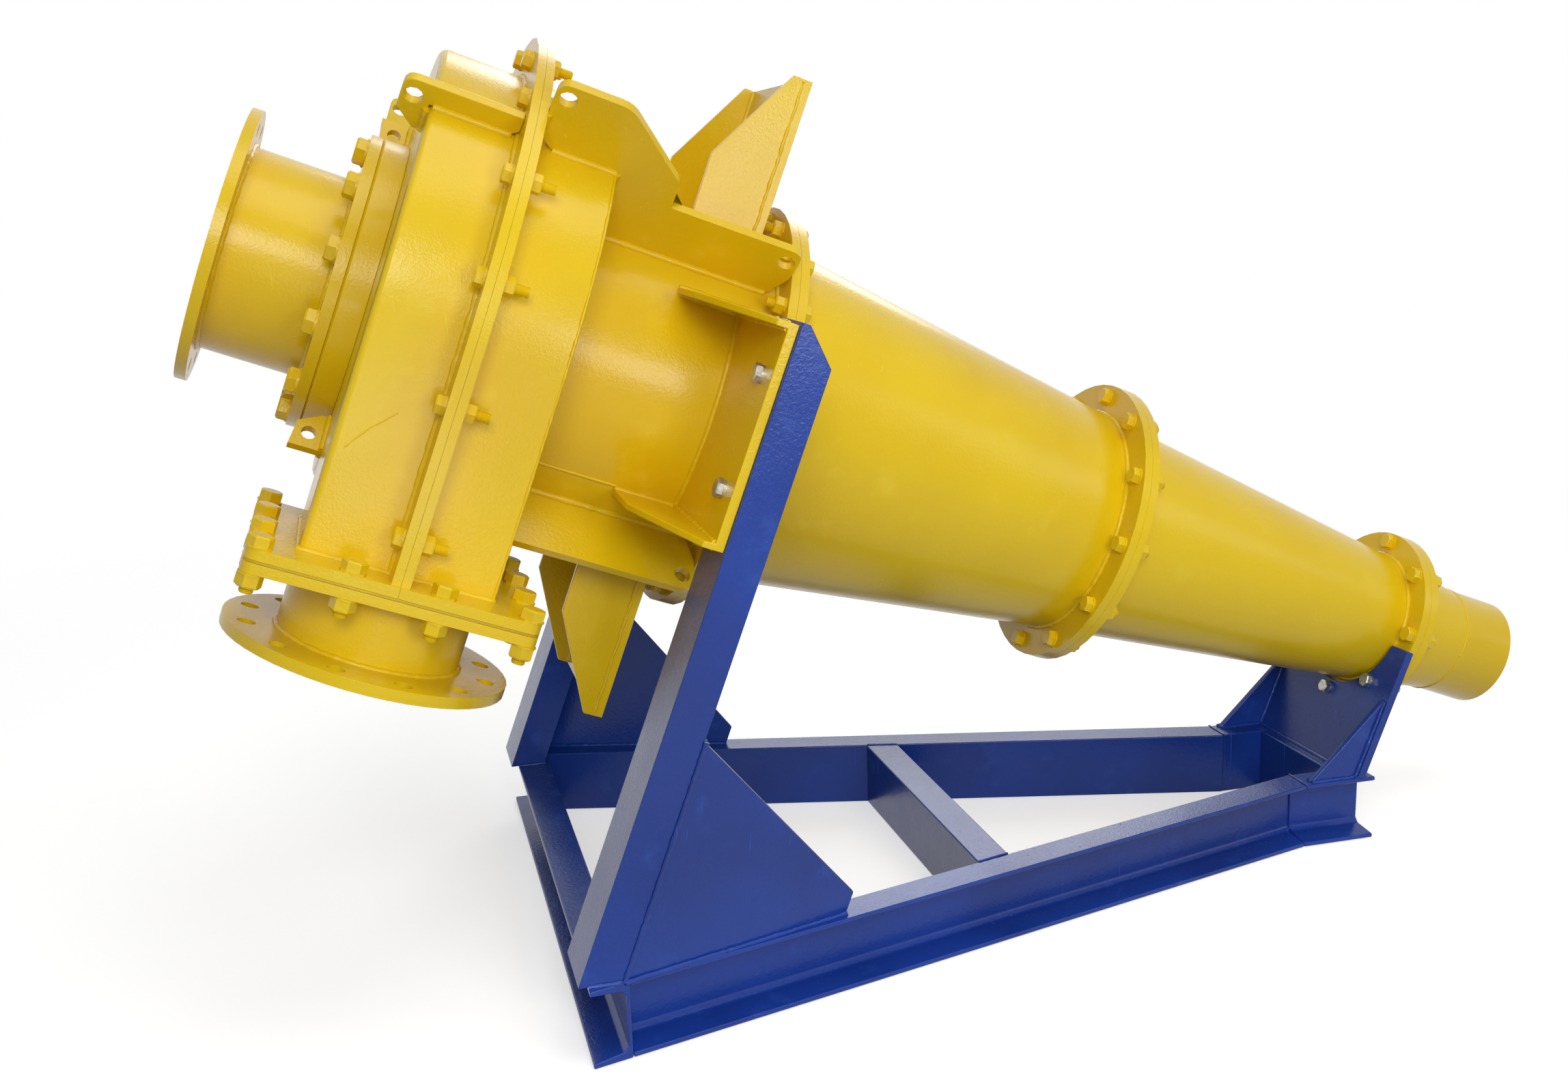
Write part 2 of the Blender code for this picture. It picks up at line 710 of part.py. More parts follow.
def lower_scroll_shell():
    mouth = DUCT_REACH + FEED_PLATE_THICKNESS / 2
    body = loft(
        "lower_scroll_shell",
        [scroll_outline(station, 0, mouth) for station in (lower_top + LIP_THICKNESS / 2, floor_end)],
    )
    fuse(body, scroll_lip(lower_top - OVERRUN, lower_top + LIP_THICKNESS))
    fuse(body, feed_plate("plate", DUCT_REACH, DUCT_REACH + FEED_PLATE_THICKNESS))
    flange = barrel_end - HEAD_FLANGE_THICKNESS
    barrel = loft(
        "barrel",
        [
            circle(BARREL_RADIUS, floor_end - ROOF_THICKNESS / 2),
            circle(BARREL_RADIUS, flange),
            circle(head_flange_radius, flange),
            circle(head_flange_radius, barrel_end),
        ],
    )
    fuse(body, barrel)
    cut(body, scroll_cavity(lower_top - LIP_THICKNESS, duct_bottom))
    bore = BARREL_RADIUS - SHELL_WALL
    cut(body, loft("bore", [circle(bore, station) for station in (duct_bottom - OVERRUN, barrel_end + OVERRUN)]))
    cut(body, split_cutter(roof_top - FEED_PLATE_LIP - OVERRUN, lower_top))
    cut(body, axial_holes(lip_bolts(), BOLT_HOLE_RADIUS, lower_top, lower_top + LIP_THICKNESS))
    head_holes = bolt_circle(HEAD_BOLTS, head_circle_radius)
    cut(body, axial_holes(head_holes, BOLT_HOLE_RADIUS, flange, barrel_end))
    return cut(body, feed_holes(DUCT_REACH, DUCT_REACH + FEED_PLATE_THICKNESS))


def upper_scroll_liner():
    outside = SHELL_WALL + FIT_GAP
    mouth = DUCT_REACH + FEED_PLATE_THICKNESS
    top = duct_top + FIT_GAP
    body = loft("upper_scroll_liner", [scroll_outline(station, -outside, mouth) for station in (top, split)])
    inside = outside + RUBBER_WALL
    cavity = [
        scroll_outline(station, -inside, mouth + OVERRUN)
        for station in (top + RUBBER_WALL, split + OVERRUN)
    ]
    cut(body, loft("cavity", cavity))
    hole = FINDER_RADIUS + FIT_GAP
    return cut(body, loft("hole", [circle(hole, top - OVERRUN), circle(hole, top + RUBBER_WALL + OVERRUN)]))


def lower_scroll_liner():
    outside = SHELL_WALL + FIT_GAP
    mouth = DUCT_REACH + FEED_PLATE_THICKNESS
    bottom = duct_bottom - FIT_GAP
    body = loft(
        "lower_scroll_liner",
        [scroll_outline(station, -outside, mouth) for station in (lower_top, bottom)],
    )
    sleeve = BARREL_RADIUS - outside
    fuse(body, loft("sleeve", [circle(sleeve, bottom - RUBBER_WALL / 2), circle(sleeve, barrel_end)]))
    inside = outside + RUBBER_WALL
    cavity = [
        scroll_outline(station, -inside, mouth + OVERRUN)
        for station in (lower_top - OVERRUN, bottom - RUBBER_WALL)
    ]
    cut(body, loft("cavity", cavity))
    bore = sleeve - RUBBER_WALL
    ends = (bottom - RUBBER_WALL - OVERRUN, barrel_end + OVERRUN)
    return cut(body, loft("bore", [circle(bore, station) for station in ends]))


def feed_gasket():
    body = feed_plate("feed_gasket", gasket_top, gasket_top + GASKET_THICKNESS)
    cut(body, duct_passage(gasket_top - OVERRUN, adapter_top + OVERRUN, FIT_GAP + RUBBER_WALL))
    return cut(body, feed_holes(gasket_top, gasket_top + GASKET_THICKNESS))


def feed_ring(radius, depth):
    turns = [2 * math.pi * step / TURN_STEPS for step in range(TURN_STEPS)]
    return [
        at(feed_station + radius * math.cos(turn), -depth, feed_side + radius * math.sin(turn))
        for turn in turns
    ]


def feed_adapter():
    plate_end = adapter_top + FEED_PLATE_THICKNESS
    body = feed_plate("feed_adapter", adapter_top, plate_end)
    flange = feed_face - FEED_FLANGE_THICKNESS
    pipe = [
        feed_ring(FEED_PIPE_RADIUS, plate_end - FEED_PLATE_THICKNESS / 2),
        feed_ring(FEED_PIPE_RADIUS, flange),
        feed_ring(FEED_FLANGE_RADIUS, flange),
        feed_ring(FEED_FLANGE_RADIUS, feed_face),
    ]
    fuse(body, loft("pipe", pipe))
    bore = FEED_PIPE_RADIUS - FEED_PIPE_WALL
    cut(body, loft("bore", [feed_ring(bore, adapter_top - OVERRUN), feed_ring(bore, feed_face + OVERRUN)]))
    rods = []
    for along, aside in bolt_circle(FEED_HOLES, FEED_CIRCLE_RADIUS, math.pi / FEED_HOLES):
        top = at(feed_station + along, -flange + OVERRUN, feed_side + aside)
        rods.append(rod(FEED_HOLE_RADIUS, top, at(feed_station + along, -feed_face - OVERRUN, feed_side + aside)))
    cut(body, joined("holes", rods))
    return cut(body, feed_holes(adapter_top, plate_end))


def feed_liner():
    # A rubber sleeve, round outside, whose passage turns from the duct's rectangle to the pipe's circle
    outside = FEED_PIPE_RADIUS - FEED_PIPE_WALL - FIT_GAP
    body = loft("feed_liner", [feed_ring(outside, adapter_top), feed_ring(outside, feed_face)])
    half_length = (duct_bottom - duct_top) / 2 - FIT_GAP - RUBBER_WALL
    half_depth = (scroll_front - duct_rear) / 2 - SHELL_WALL - FIT_GAP - RUBBER_WALL
    round_radius = outside - FEED_RUBBER
    rings = []
    for stage in range(-1, FEED_LINER_STAGES + 2):
        share = min(max(stage / FEED_LINER_STAGES, 0), 1)
        power = FEED_MOUTH_POWER + (FEED_ROUND_POWER - FEED_MOUTH_POWER) * share
        length = min(half_length, round_radius) * (1 - share) + round_radius * share
        depth = half_depth * (1 - share) + round_radius * share
        level = adapter_top + (feed_face - adapter_top) * stage / FEED_LINER_STAGES
        ring = []
        for step in range(TURN_STEPS):
            turn = 2 * math.pi * step / TURN_STEPS
            reach = (abs(math.cos(turn) / length) ** power + abs(math.sin(turn) / depth) ** power) ** (-1 / power)
            ring.append(at(feed_station + reach * math.cos(turn), -level, feed_side + reach * math.sin(turn)))
        rings.append(ring)
    return cut(body, loft("passage", rings))


def rounded(outline, corners):
    # Rounds the named corners of an outline of (station, radius) pairs; each takes (index, size)
    rounds = dict(corners)
    points = []
    for index, corner in enumerate(outline):
        size = rounds.get(index, 0)
        if not size:
            points.append(corner)
            continue
        here = Vector(corner)
        before = (Vector(outline[index - 1]) - here).normalized() * size
        after = (Vector(outline[(index + 1) % len(outline)]) - here).normalized() * size
        for step in range(CORNER_STEPS + 1):
            share = step / CORNER_STEPS
            spot = here + before * (1 - share) ** 2 + after * share**2
            points.append((spot.x, spot.y))
    return points


def roof_lug(name, side):
    # A plate on the upper scroll that reaches past the roof, with a lifting hole
    angle = side * LUG_ANGLE
    base = scroll_reach(angle)
    left = roof_top - ROOF_LUG_OVERHANG
    right = split - LIP_THICKNESS - FIT_GAP
    face = roof_top - FIT_GAP
    outline = [
        (left, roof_lug_radius),
        (right, roof_lug_radius),
        (right, base + ROOF_EDGE),
        (right - ROOF_EDGE, base),
        (face, base),
        (face, base - ROOF_LUG_DROP),
        (left + ROOF_LUG_CUT, base - ROOF_LUG_DROP),
        (left, base - ROOF_LUG_DROP + ROOF_LUG_CUT),
    ]
    body = plate_in_plane(name, rounded(outline, [(0, LUG_CORNER)]), angle, LUG_THICKNESS)
    hole_station = left + LUG_CORNER
    hole_radius = roof_lug_radius - ROOF_LUG_CUT
    return cut(body, plane_hole(hole_station, hole_radius, angle, LUG_THICKNESS, LUG_HOLE_RADIUS))


def barrel_lug(name, angle, climbs):
    # A plate along the barrel; the upper ones climb over the scroll's floor to the split lip
    base = BARREL_RADIUS + FIT_GAP
    left = floor_end + FIT_GAP
    right = barrel_end - HEAD_FLANGE_THICKNESS - FIT_GAP
    low_end = [
        (right, low_lug_radius),
        (right, base + LUG_RELIEF_REACH),
        (right - LUG_RELIEF, base),
        (left + LUG_RELIEF, base),
        (left, base + LUG_RELIEF),
    ]
    if climbs:
        scroll_base = scroll_reach(angle)
        start = lower_top + LIP_THICKNESS + FIT_GAP
        outline = [
            (start, high_lug_radius),
            (start + HIGH_LUG_LENGTH, high_lug_radius),
            (start + HIGH_LUG_LENGTH + LUG_SLOPE_RUN, low_lug_radius + LUG_SLOPE_RISE + LUG_CORNER),
            (start + HIGH_LUG_LENGTH + LUG_SLOPE_RUN + LUG_CORNER, low_lug_radius),
            *low_end,
            (left, scroll_base),
            (start + LUG_RELIEF, scroll_base),
            (start, scroll_base + LUG_RELIEF),
        ]
        outline = rounded(outline, [(0, LUG_CORNER), (1, LUG_CORNER), (2, LUG_CORNER), (4, LUG_CORNER)])
    else:
        outline = rounded([(left, low_lug_radius), *low_end], [(1, LUG_CORNER)])
    body = plate_in_plane(name, outline, angle, LUG_THICKNESS)
    low_hole = low_lug_radius - LOW_LUG_HOLE_INSET
    cut(body, plane_hole(right - LUG_CORNER, low_hole, angle, LUG_THICKNESS, LUG_HOLE_RADIUS))
    if climbs:
        high_hole = high_lug_radius - HIGH_LUG_HOLE_INSET
        hole = plane_hole(start + LUG_CORNER, high_hole, angle, LUG_THICKNESS, LUG_HOLE_RADIUS)
        cut(body, hole)
    return body


def side_plate(side):
    outer = side * BRACKET_HALF_WIDTH
    inner = side * (BRACKET_HALF_WIDTH - BRACKET_PLATE)
    left = bracket_end - BRACKET_LENGTH
    right = bracket_end - BRACKET_END_PLATE / 2
    base = BARREL_RADIUS / 2
    outline = [
        (left, base),
        (left, bracket_shoulder),
        (bracket_end - BRACKET_FLAT, bracket_reach),
        (right, bracket_reach),
        (right, base),
    ]
    return loft("side", [[at(station, up, level) for station, up in outline] for level in (outer, inner)])


def mounting_bracket(name):
    # An end plate across the axis and two side plates, cut out to sit round the barrel
    left = bracket_end - BRACKET_END_PLATE
    base = BARREL_RADIUS / 2
    corners = (
        (base, -BRACKET_HALF_WIDTH),
        (bracket_reach, -BRACKET_HALF_WIDTH),
        (bracket_reach, BRACKET_HALF_WIDTH),
        (base, BRACKET_HALF_WIDTH),
    )
    body = loft(name, [[at(station, up, side) for up, side in corners] for station in (left, bracket_end)])
    for side in (-1, 1):
        fuse(body, side_plate(side))
    ends = (left - BRACKET_LENGTH - OVERRUN, bracket_end + OVERRUN)
    cut(body, loft("barrel", [circle(BARREL_RADIUS + FIT_GAP, station) for station in ends]))
    places = [(bracket_bolt_side, side * BRACKET_BOLT_SPACING / 2) for side in (-1, 1)]
    return cut(body, axial_holes(places, BOLT_HOLE_RADIUS, left, bracket_end))


def cone_shell(name, start, end, start_radius, end_radius, start_flange, end_flange, bolts):
    # Rolled cone with a flange at each end; a flange is (radius, thickness)
    top_radius, top_thickness = start_flange
    low_radius, low_thickness = end_flange
    body = turned(
        name,
        [
            (top_radius, start),
            (top_radius, start + top_thickness),
            (start_radius, start + top_thickness),
            (end_radius, end - low_thickness),
            (low_radius, end - low_thickness),
            (low_radius, end),
            (end_radius - SHELL_WALL, end),
            (start_radius - SHELL_WALL, start),
        ],
    )
    top_places, low_places = bolts
    cut(body, axial_holes(top_places, BOLT_HOLE_RADIUS, start, start + top_thickness))
    return cut(body, axial_holes(low_places, BOLT_HOLE_RADIUS, end - low_thickness, end))


def cone_liner(name, start, end, start_radius, end_radius):
    outside = SHELL_WALL + FIT_GAP
    inside = outside + RUBBER_WALL
    return turned(
        name,
        [
            (start_radius - outside, start),
            (end_radius - outside, end),
            (end_radius - inside, end),
            (start_radius - inside, start),
        ],
    )


def spigot_housing():
    bore = SPIGOT_RADIUS - SHELL_WALL
    body = turned(
        "spigot_housing",
        [
            (LOW_FLANGE_RADIUS, spigot_top),
            (LOW_FLANGE_RADIUS, spigot_top + LOW_FLANGE_THICKNESS),
            (SPIGOT_START_RADIUS, spigot_top + LOW_FLANGE_THICKNESS),
            (SPIGOT_RADIUS, spigot_cone_end),
            (SPIGOT_RADIUS, spigot_end),
            (bore, spigot_end),
            (bore, spigot_cone_end),
            (SPIGOT_START_RADIUS - SHELL_WALL, spigot_top),
        ],
    )
    holes = bolt_circle(LOW_BOLTS, LOW_CIRCLE_RADIUS)
    end = spigot_top + LOW_FLANGE_THICKNESS
    return cut(body, axial_holes(holes, BOLT_HOLE_RADIUS, spigot_top, end))


def spigot_liner():
    outside = SHELL_WALL + FIT_GAP
    return turned(
        "spigot_liner",
        [
            (SPIGOT_START_RADIUS - outside, spigot_top),
            (SPIGOT_RADIUS - outside, spigot_cone_end),
            (SPIGOT_RADIUS - outside, spigot_end),
            (SPIGOT_BORE, spigot_end),
            (SPIGOT_BORE, spigot_cone_end),
            (LOWER_CONE_END_RADIUS - outside - RUBBER_WALL, spigot_top),
        ],
    )


# Stand pieces


def channel_section():
    # (distance from the back of the web, height) round a channel with tapered flanges
    half = CHANNEL_HEIGHT / 2
    upper = [
        (0, half),
        (CHANNEL_WIDTH, half),
        (CHANNEL_WIDTH, half - CHANNEL_TOE),
        (CHANNEL_WEB + CHANNEL_TOE, half - CHANNEL_ROOT),
        (CHANNEL_WEB, half - CHANNEL_ROOT - CHANNEL_TOE),
    ]
    lower = [(across, -height) for across, height in reversed(upper)]
    return upper + lower


def beam_side(along):
    # Outer edge of the long beams at this place along the floor
    share = (along - STAND_LEFT) / (STAND_BEND - STAND_LEFT)
    return stand_left_half_width + (STAND_RIGHT_HALF_WIDTH - stand_left_half_width) * share


def flange_across():
    # Width of a long beam's flange measured square across the stand
    rise = stand_left_half_width - STAND_RIGHT_HALF_WIDTH
    return CHANNEL_WIDTH * math.hypot(1, rise / (STAND_BEND - STAND_LEFT))


def long_beam(name, side):
    stretch = flange_across() / CHANNEL_WIDTH
    rings = []
    for along in (STAND_LEFT + CHANNEL_WIDTH + FIT_GAP, STAND_BEND - FIT_GAP):
        back = beam_side(along) - flange_across()
        rings.append(
            [
                Vector((along, side * (back + across * stretch), CHANNEL_HEIGHT / 2 + height))
                for across, height in channel_section()
            ]
        )
    return loft(name, rings)


def end_stub(name, side):
    back = STAND_RIGHT_HALF_WIDTH - CHANNEL_WIDTH
    rings = [
        [Vector((along, side * (back + across), CHANNEL_HEIGHT / 2 + height)) for across, height in channel_section()]
        for along in (STAND_BEND, STAND_RIGHT)
    ]
    return loft(name, rings)


def left_cross_beam():
    rings = []
    for side in (-1, 1):
        ring = []
        for across, height in channel_section():
            along = STAND_LEFT + CHANNEL_WIDTH - across
            ring.append(Vector((along, side * beam_side(along), CHANNEL_HEIGHT / 2 + height)))
        rings.append(ring)
    return loft("left_cross_beam", rings)


def middle_cross_beam():
    rings = []
    for side in (-1, 1):
        ring = []
        for across, height in channel_section():
            along = STAND_MIDDLE + across
            reach = beam_side(along) - flange_across() - FIT_GAP
            ring.append(Vector((along, side * reach, CHANNEL_HEIGHT / 2 + height)))
        rings.append(ring)
    return loft("middle_cross_beam", rings)


def end_cross_beam():
    reach = STAND_RIGHT_HALF_WIDTH - CHANNEL_WIDTH - FIT_GAP
    rings = [
        [
            Vector((STAND_RIGHT - CHANNEL_WIDTH + across, side * reach, CHANNEL_HEIGHT / 2 + height))
            for across, height in channel_section()
        ]
        for side in (-1, 1)
    ]
    return loft("end_cross_beam", rings)


def floor_up(station, height):
    # How far up the leaning cross-section a point at this height above the floor lies
    return (height - axis_height + station * lean_sin) / lean_cos


def on_floor_plan(station, up, side):
    # A point of the leaning cyclone in the stand's frame
    return Vector((station * lean_cos + up * lean_sin, side, axis_height - station * lean_sin + up * lean_cos))


def upright(name, side):
    back = bracket_end + FIT_GAP
    middle = upright_side - CHANNEL_HEIGHT / 2
    foot = CHANNEL_HEIGHT + FIT_GAP
    rings = [[], []]
    for across, height in channel_section():
        station = back + across
        aside = side * (middle + height)
        rings[0].append(at(station, floor_up(station, foot), aside))
        rings[1].append(at(station, UPRIGHT_TOP, aside))
    body = loft(name, rings)
    corner = back + UPRIGHT_FLAT
    wedge = [
        (corner, UPRIGHT_TOP + OVERRUN),
        (back + CHANNEL_WIDTH + OVERRUN, UPRIGHT_TOP + OVERRUN),
        (back + CHANNEL_WIDTH + OVERRUN, UPRIGHT_TOP - CHANNEL_WIDTH + UPRIGHT_FLAT - OVERRUN),
        (corner, UPRIGHT_TOP),
    ]
    reach = CHANNEL_HEIGHT / 2 + OVERRUN
    tool = loft("wedge", [[at(*spot, side * middle + shift) for spot in wedge] for shift in (-reach, reach)])
    cut(body, tool)
    places = [(level * BRACKET_BOLT_SPACING / 2, side * bracket_bolt_side) for level in (-1, 1)]
    return cut(body, axial_holes(places, BOLT_HOLE_RADIUS, back, back + CHANNEL_WEB))


def upright_gusset(name, side):
    # Flush with the upright's outer face along its toe and with the long beam along its foot
    toe = bracket_end + FIT_GAP + CHANNEL_WIDTH + FIT_GAP
    foot = CHANNEL_HEIGHT + FIT_GAP
    corner = on_floor_plan(toe, floor_up(toe, foot), upright_side)
    far = corner.x + UPRIGHT_GUSSET_LENGTH
    end = Vector((far, beam_side(far) - UPRIGHT_GUSSET_INSET, foot))
    climb = Vector((lean_sin, 0, lean_cos))
    outline = [corner, end, end + climb * UPRIGHT_GUSSET_END, corner + climb * UPRIGHT_GUSSET_HEIGHT]
    inward = Vector((0, GUSSET_THICKNESS, 0))
    rings = [
        [Vector((spot.x, side * spot.y, spot.z)) for spot in outline],
        [Vector((spot.x, side * (spot.y - inward.y), spot.z)) for spot in outline],
    ]
    return loft(name, rings)


def saddle_bolts():
    # The lower three holes of the low flange also hold the saddle plate
    turns = [math.pi + 2 * math.pi * step / LOW_BOLTS for step in (-1, 0, 1)]
    return [(LOW_CIRCLE_RADIUS * math.cos(turn), -LOW_CIRCLE_RADIUS * math.sin(turn)) for turn in turns]


def saddle_plate():
    # A plate square to the axis under the low flange, with a half-round seat for the cone
    start = math.acos(-SADDLE_TOP / SADDLE_CUTOUT_RADIUS)
    arc = []
    for step in range(SEAT_STEPS + 1):
        turn = start + (2 * math.pi - 2 * start) * step / SEAT_STEPS
        arc.append((SADDLE_CUTOUT_RADIUS * math.cos(turn), -SADDLE_CUTOUT_RADIUS * math.sin(turn)))
    rings = []
    for station in (saddle_top, saddle_end):
        foot = floor_up(station, CHANNEL_HEIGHT + FIT_GAP)
        outline = [(foot, -SADDLE_HALF_WIDTH), (-SADDLE_TOP, -SADDLE_HALF_WIDTH), *arc]
        outline += [(-SADDLE_TOP, SADDLE_HALF_WIDTH), (foot, SADDLE_HALF_WIDTH)]
        rings.append([at(station, up, side) for up, side in outline])
    body = loft("saddle_plate", rings)
    return cut(body, axial_holes(saddle_bolts(), BOLT_HOLE_RADIUS, saddle_top, saddle_end))


def saddle_gusset(name, side):
    foot = CHANNEL_HEIGHT + FIT_GAP
    face = saddle_top - FIT_GAP
    outer = STAND_RIGHT_HALF_WIDTH - SADDLE_GUSSET_INSET
    outline = [
        Vector((SADDLE_GUSSET_START, 0, foot)),
        on_floor_plan(face, floor_up(face, foot), 0),
        on_floor_plan(face, -SADDLE_GUSSET_TOP, 0),
    ]
    levels = (side * outer, side * (outer - GUSSET_THICKNESS))
    return loft(name, [[Vector((spot.x, level, spot.z)) for spot in outline] for level in levels])


# Assembly


def frame(name):
    empty = bpy.data.objects.new(name, None)
    bpy.context.scene.collection.objects.link(empty)
    return empty


def build_cyclone(parent):
    yellow = [overflow_pipe(), cover_ring(), upper_scroll_shell(), lower_scroll_shell(), feed_adapter()]
    yellow += [
        roof_lug("roof_lug_front", 1),
        roof_lug("roof_lug_back", -1),
        barrel_lug("barrel_lug_upper_front", LUG_ANGLE, True),
        barrel_lug("barrel_lug_upper_back", -LUG_ANGLE, True),
        barrel_lug("barrel_lug_lower_front", math.pi - LUG_ANGLE, False),
        barrel_lug("barrel_lug_lower_back", LUG_ANGLE - math.pi, False),
    ]
    head_flange = (head_flange_radius, HEAD_FLANGE_THICKNESS)
    mid_flange = (MID_FLANGE_RADIUS, MID_FLANGE_THICKNESS)
    low_flange = (LOW_FLANGE_RADIUS, LOW_FLANGE_THICKNESS)
    head_bolts = bolt_circle(HEAD_BOLTS, head_circle_radius)
    mid_bolts = bolt_circle(MID_BOLTS, MID_CIRCLE_RADIUS)
    low_bolts = bolt_circle(LOW_BOLTS, LOW_CIRCLE_RADIUS)
    upper = (upper_cone_top, upper_cone_end, BARREL_RADIUS, UPPER_CONE_END_RADIUS)
    lower = (lower_cone_top, lower_cone_end, LOWER_CONE_START_RADIUS, LOWER_CONE_END_RADIUS)
    yellow += [
        cone_shell("upper_cone", *upper, head_flange, mid_flange, (head_bolts, mid_bolts)),
        cone_shell("lower_cone", *lower, mid_flange, low_flange, (mid_bolts, low_bolts)),
        spigot_housing(),
    ]
    for obj in yellow:
        settle(obj, "yellow", parent)
    bracket = settle(mounting_bracket("mounting_bracket_top"), "yellow", parent)
    for name, quarter in (("back", 1), ("bottom", 2), ("front", 3)):
        turn = 2 * math.pi * quarter / BRACKETS
        copy_of(bracket, f"mounting_bracket_{name}", "yellow", parent, turn)
    rubber = [
        overflow_liner(),
        upper_scroll_liner(),
        lower_scroll_liner(),
        feed_gasket(),
        feed_liner(),
        cone_liner("upper_cone_liner", *upper),
        cone_liner("lower_cone_liner", *lower),
        spigot_liner(),
        vortex_finder(),
    ]
    for obj in rubber:
        settle(obj, "rubber", parent)


def build_stand(ground, leaning):
    blue = [
        long_beam("long_beam_front", -1),
        long_beam("long_beam_back", 1),
        left_cross_beam(),
        middle_cross_beam(),
        end_cross_beam(),
        end_stub("end_stub_front", -1),
        end_stub("end_stub_back", 1),
        upright_gusset("upright_gusset_front", -1),
        upright_gusset("upright_gusset_back", 1),
        saddle_gusset("saddle_gusset_front", -1),
        saddle_gusset("saddle_gusset_back", 1),
    ]
    for obj in blue:
        settle(obj, "blue", ground)
    for obj in (upright("upright_front", -1), upright("upright_back", 1), saddle_plate()):
        settle(obj, "blue", leaning)


def build_bolts(parent):
    for index, (along, aside) in enumerate(feed_bolts()):
        head = at(along, -DUCT_REACH, aside)
        nut = at(along, -adapter_top - FEED_PLATE_THICKNESS, aside)
        settle(hex_bolt(f"feed_bolt_{index + 1:02d}", head, nut), "yellow", parent)
    web = bracket_end + FIT_GAP + CHANNEL_WEB
    for place, side in (("front", -1), ("back", 1)):
        for level, step in (("low", -1), ("high", 1)):
            up = step * BRACKET_BOLT_SPACING / 2
            head = at(bracket_end - BRACKET_END_PLATE, up, side * bracket_bolt_side)
            nut = at(web, up, side * bracket_bolt_side)
            settle(hex_bolt(f"bracket_bolt_{place}_{level}", head, nut), "zinc", parent)
    for place, (up, side) in zip(("front", "bottom", "back"), saddle_bolts()):
        head = at(saddle_top, up, side)
        nut = at(spigot_top + LOW_FLANGE_THICKNESS, up, side)
        settle(hex_bolt(f"saddle_bolt_{place}", head, nut), "zinc", parent)


clear_scene()
stand_frame = frame("stand_frame")
stand_frame.location = (-plan_middle, 0, 0)
cyclone_frame = frame("cyclone_frame")
cyclone_frame.location = (-plan_middle, 0, axis_height)
cyclone_frame.rotation_euler = (0, AXIS_LEAN - math.pi / 2, 0)
build_cyclone(cyclone_frame)
build_stand(stand_frame, cyclone_frame)
build_bolts(cyclone_frame)
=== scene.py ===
import json
import math

import bmesh
import bpy
from mathutils import Matrix, Vector


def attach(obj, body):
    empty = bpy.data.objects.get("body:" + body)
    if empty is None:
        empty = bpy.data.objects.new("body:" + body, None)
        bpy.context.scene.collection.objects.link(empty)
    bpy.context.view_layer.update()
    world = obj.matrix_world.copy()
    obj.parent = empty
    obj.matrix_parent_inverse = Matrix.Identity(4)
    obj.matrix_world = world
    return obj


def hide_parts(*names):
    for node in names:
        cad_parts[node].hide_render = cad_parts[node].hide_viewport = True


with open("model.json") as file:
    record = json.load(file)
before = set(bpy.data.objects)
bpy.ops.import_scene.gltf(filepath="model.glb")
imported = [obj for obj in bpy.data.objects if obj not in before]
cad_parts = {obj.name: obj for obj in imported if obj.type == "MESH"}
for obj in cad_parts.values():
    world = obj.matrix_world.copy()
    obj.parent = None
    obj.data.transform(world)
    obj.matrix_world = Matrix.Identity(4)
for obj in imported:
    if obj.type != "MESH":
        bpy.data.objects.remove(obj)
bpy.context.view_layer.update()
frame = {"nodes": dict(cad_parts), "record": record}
print("frame loaded:", len(frame["nodes"]), "nodes")

# How the cyclone leans on its stand: stations run down its axis, up and side lie across it
pose = {
    "lean": math.radians(21.14),
    "axisHeight": 0.9675,
    "planShift": 0.93438,
}
leanSin = math.sin(pose["lean"])
leanCos = math.cos(pose["lean"])
axisWay = Vector((leanCos, 0, -leanSin))
upWay = Vector((leanSin, 0, leanCos))
quarterTurn = math.pi / 2


def place(station, up, side):
    return Vector((-pose["planShift"], side, pose["axisHeight"])) + axisWay * station + upWay * up


def radialSpot(station, radius, angle, shift=0.0):
    # In the plane through the axis at this angle from the top, shift to one side of it
    up = radius * math.cos(angle) + shift * math.sin(angle)
    return place(station, up, shift * math.cos(angle) - radius * math.sin(angle))


def onStand(along, side, height):
    return Vector((along - pose["planShift"], side, height))


# Any node of a tree: its settings come first, then the value or link of each socket
def addNode(tree, kind, settings=None, sockets=None):
    made = tree.nodes.new(kind)
    for name, value in (settings or {}).items():
        setattr(made, name, value)
    for name, value in (sockets or {}).items():
        if isinstance(value, bpy.types.NodeSocket):
            tree.links.new(value, made.inputs[name])
        else:
            made.inputs[name].default_value = value
    return made


# Shader maths: a Field is one value over the surface, and a Finish builds a material's nodes
class Field:
    def __init__(self, finish, socket):
        self.finish = finish
        self.socket = socket

    def maths(self, operation, first, second):
        made = self.finish.node("ShaderNodeMath", {"operation": operation}, {0: first, 1: second})
        return Field(self.finish, made.outputs[0])

    def __add__(self, other):
        return self.maths("ADD", self, other)

    def __mul__(self, other):
        return self.maths("MULTIPLY", self, other)

    __radd__ = __add__
    __rmul__ = __mul__


